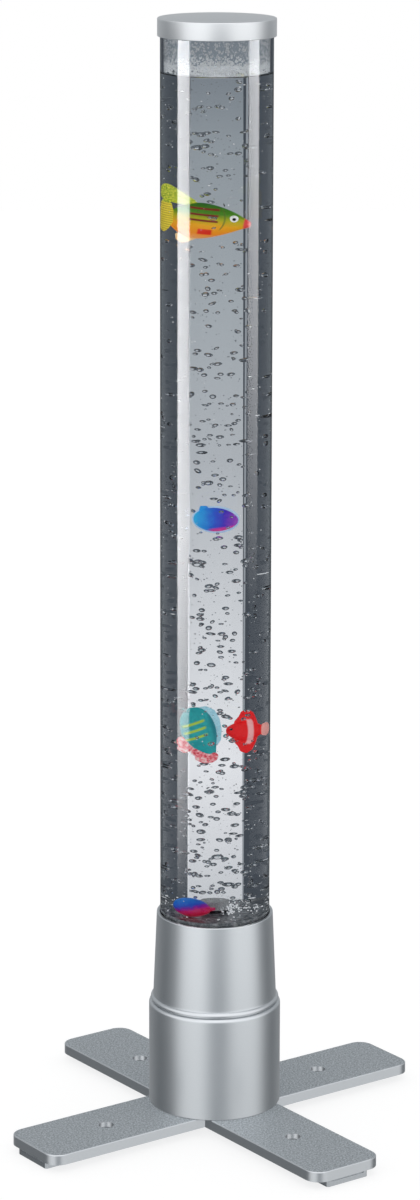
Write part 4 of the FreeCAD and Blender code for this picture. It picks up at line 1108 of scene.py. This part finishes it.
# What shows through the tube: panels with dark screens between them.
panel_width = math_node(tree, "ADD", math_node(tree, "MULTIPLY", math_node(tree, "MINIMUM", rise, 0.0), -0.2), 13.9)
panel_width = math_node(tree, "MINIMUM", panel_width, 18.0)
away = math_node(tree, "ABSOLUTE", behind)
spacing = math_node(tree, "PINGPONG", away, 22.5)
front_panel = math_node(tree, "LESS_THAN", away, panel_width)
other_panels = math_node(
    tree, "MULTIPLY", math_node(tree, "LESS_THAN", spacing, 15.0), math_node(tree, "GREATER_THAN", away, 62.0),
)
panels = math_node(tree, "MAXIMUM", front_panel, other_panels)
panel_light = ramp(tree, span(tree, rise, -25, 5), [
    (0.0, (0.52, 0.53, 0.56)), (0.22, (0.58, 0.59, 0.62)), (0.29, (0.80, 0.80, 0.83)), (0.35, (0.66, 0.67, 0.70)),
    (0.44, (0.44, 0.46, 0.49)), (0.52, (0.37, 0.40, 0.43)), (0.60, (0.28, 0.31, 0.34)), (0.64, (0.185, 0.21, 0.24)),
    (1.0, (0.17, 0.195, 0.22)),
])
screen_light = ramp(tree, span(tree, away, 12, 62), [
    (0.0, (0.055, 0.065, 0.08)), (0.4, (0.06, 0.07, 0.085)), (0.62, (0.07, 0.08, 0.095)), (1.0, (0.11, 0.125, 0.14)),
])
gap_line = window(tree, behind, -18.6, -17.2, 0.25)
screen_light = mix_colour(tree, gap_line, screen_light, (0.30, 0.32, 0.35))
through_tube = mix_colour(tree, panels, screen_light, panel_light)

# What the satin silver mirrors: two wide soft lights in front, darker ones at the back.
satin_lights = ramp(tree, span(tree, front, -180, 180), [
    (0.0, (0.30, 0.31, 0.32)), (0.10, (0.28, 0.29, 0.30)), (0.20, (0.07, 0.08, 0.09)), (0.28, (0.16, 0.17, 0.18)),
    (0.335, (0.85, 0.86, 0.87)), (0.44, (0.92, 0.93, 0.94)), (0.49, (0.30, 0.32, 0.34)), (0.54, (0.26, 0.28, 0.30)),
    (0.60, (0.80, 0.81, 0.82)), (0.715, (0.84, 0.85, 0.86)), (0.78, (0.18, 0.19, 0.20)), (0.83, (0.10, 0.11, 0.12)),
    (0.90, (0.28, 0.29, 0.30)), (1.0, (0.30, 0.31, 0.32)),
])
level_glow = math_node(tree, "ADD", math_node(tree, "MULTIPLY", span(tree, rise, -15, -5), 0.6), 1.0)
glow_colour = add_node(tree, "ShaderNodeCombineColor", {}, {0: level_glow, 1: level_glow, 2: level_glow})
satin_lights = mix_colour(tree, 1.0, satin_lights, glow_colour.outputs[0], "MULTIPLY")
overhead = ramp(tree, span(tree, math_node(tree, "ABSOLUTE", front), 0, 180), [
    (0.0, (1.5, 1.5, 1.52)), (0.45, (1.3, 1.3, 1.32)), (0.62, (0.5, 0.52, 0.54)), (1.0, (0.42, 0.44, 0.46)),
])
satin_lights = mix_colour(tree, span(tree, rise, -3, 14), satin_lights, overhead)

# What the polished tube mirrors: two tall narrow strip lights beside the camera.
left_strip = math_node(tree, "MULTIPLY", window(tree, front, -86, -57, 3.0), span(tree, rise, -18.5, -13.0))
right_strip = math_node(tree, "MULTIPLY", window(tree, front, 68, 95, 3.0), span(tree, rise, -14.0, -4.0))
strips = math_node(tree, "ADD", left_strip, math_node(tree, "MULTIPLY", right_strip, 0.8))
strip_light = mix_colour(tree, strips, (0.05, 0.05, 0.055), (24.0, 24.0, 24.4))
mirrored = mix_colour(tree, light_path.outputs["Is Singular Ray"], satin_lights, strip_light)

room_light = mix_colour(tree, span(tree, rise, -10, 60), (0.72, 0.73, 0.75), (1.0, 1.0, 1.0))
lit = mix_colour(tree, light_path.outputs["Is Glossy Ray"], room_light, mirrored)
lit = mix_colour(tree, light_path.outputs["Is Transmission Ray"], lit, through_tube)
scattered = math_node(tree, "GREATER_THAN", light_path.outputs["Diffuse Depth"], 0.5)
lit = mix_colour(tree, scattered, lit, room_light)
lit = mix_colour(tree, light_path.outputs["Is Camera Ray"], lit, (1.0, 1.0, 1.0))
background = add_node(tree, "ShaderNodeBackground", {}, {"Color": lit, "Strength": 1.0})
surface = add_node(tree, "ShaderNodeOutputWorld")
tree.links.new(background.outputs[0], surface.inputs["Surface"])

bpy.ops.object.camera_add()
camera = bpy.context.object
camera.name = "camera"
camera.matrix_world = (
    Matrix.Translation(CAMERA_PLACE)
    @ Matrix.Rotation(math.radians(CAMERA_HEADING), 4, "Z")
    @ Matrix.Rotation(math.radians(90 + CAMERA_PITCH), 4, "X")
    @ Matrix.Rotation(math.radians(CAMERA_ROLL), 4, "Z")
)
camera.data.lens = CAMERA_LENS
camera.data.sensor_width = 36.0
camera.data.shift_y = CAMERA_SHIFT
camera.data.clip_end = 100.0
bpy.context.scene.camera = camera
bpy.context.scene.view_settings.view_transform = "Standard"
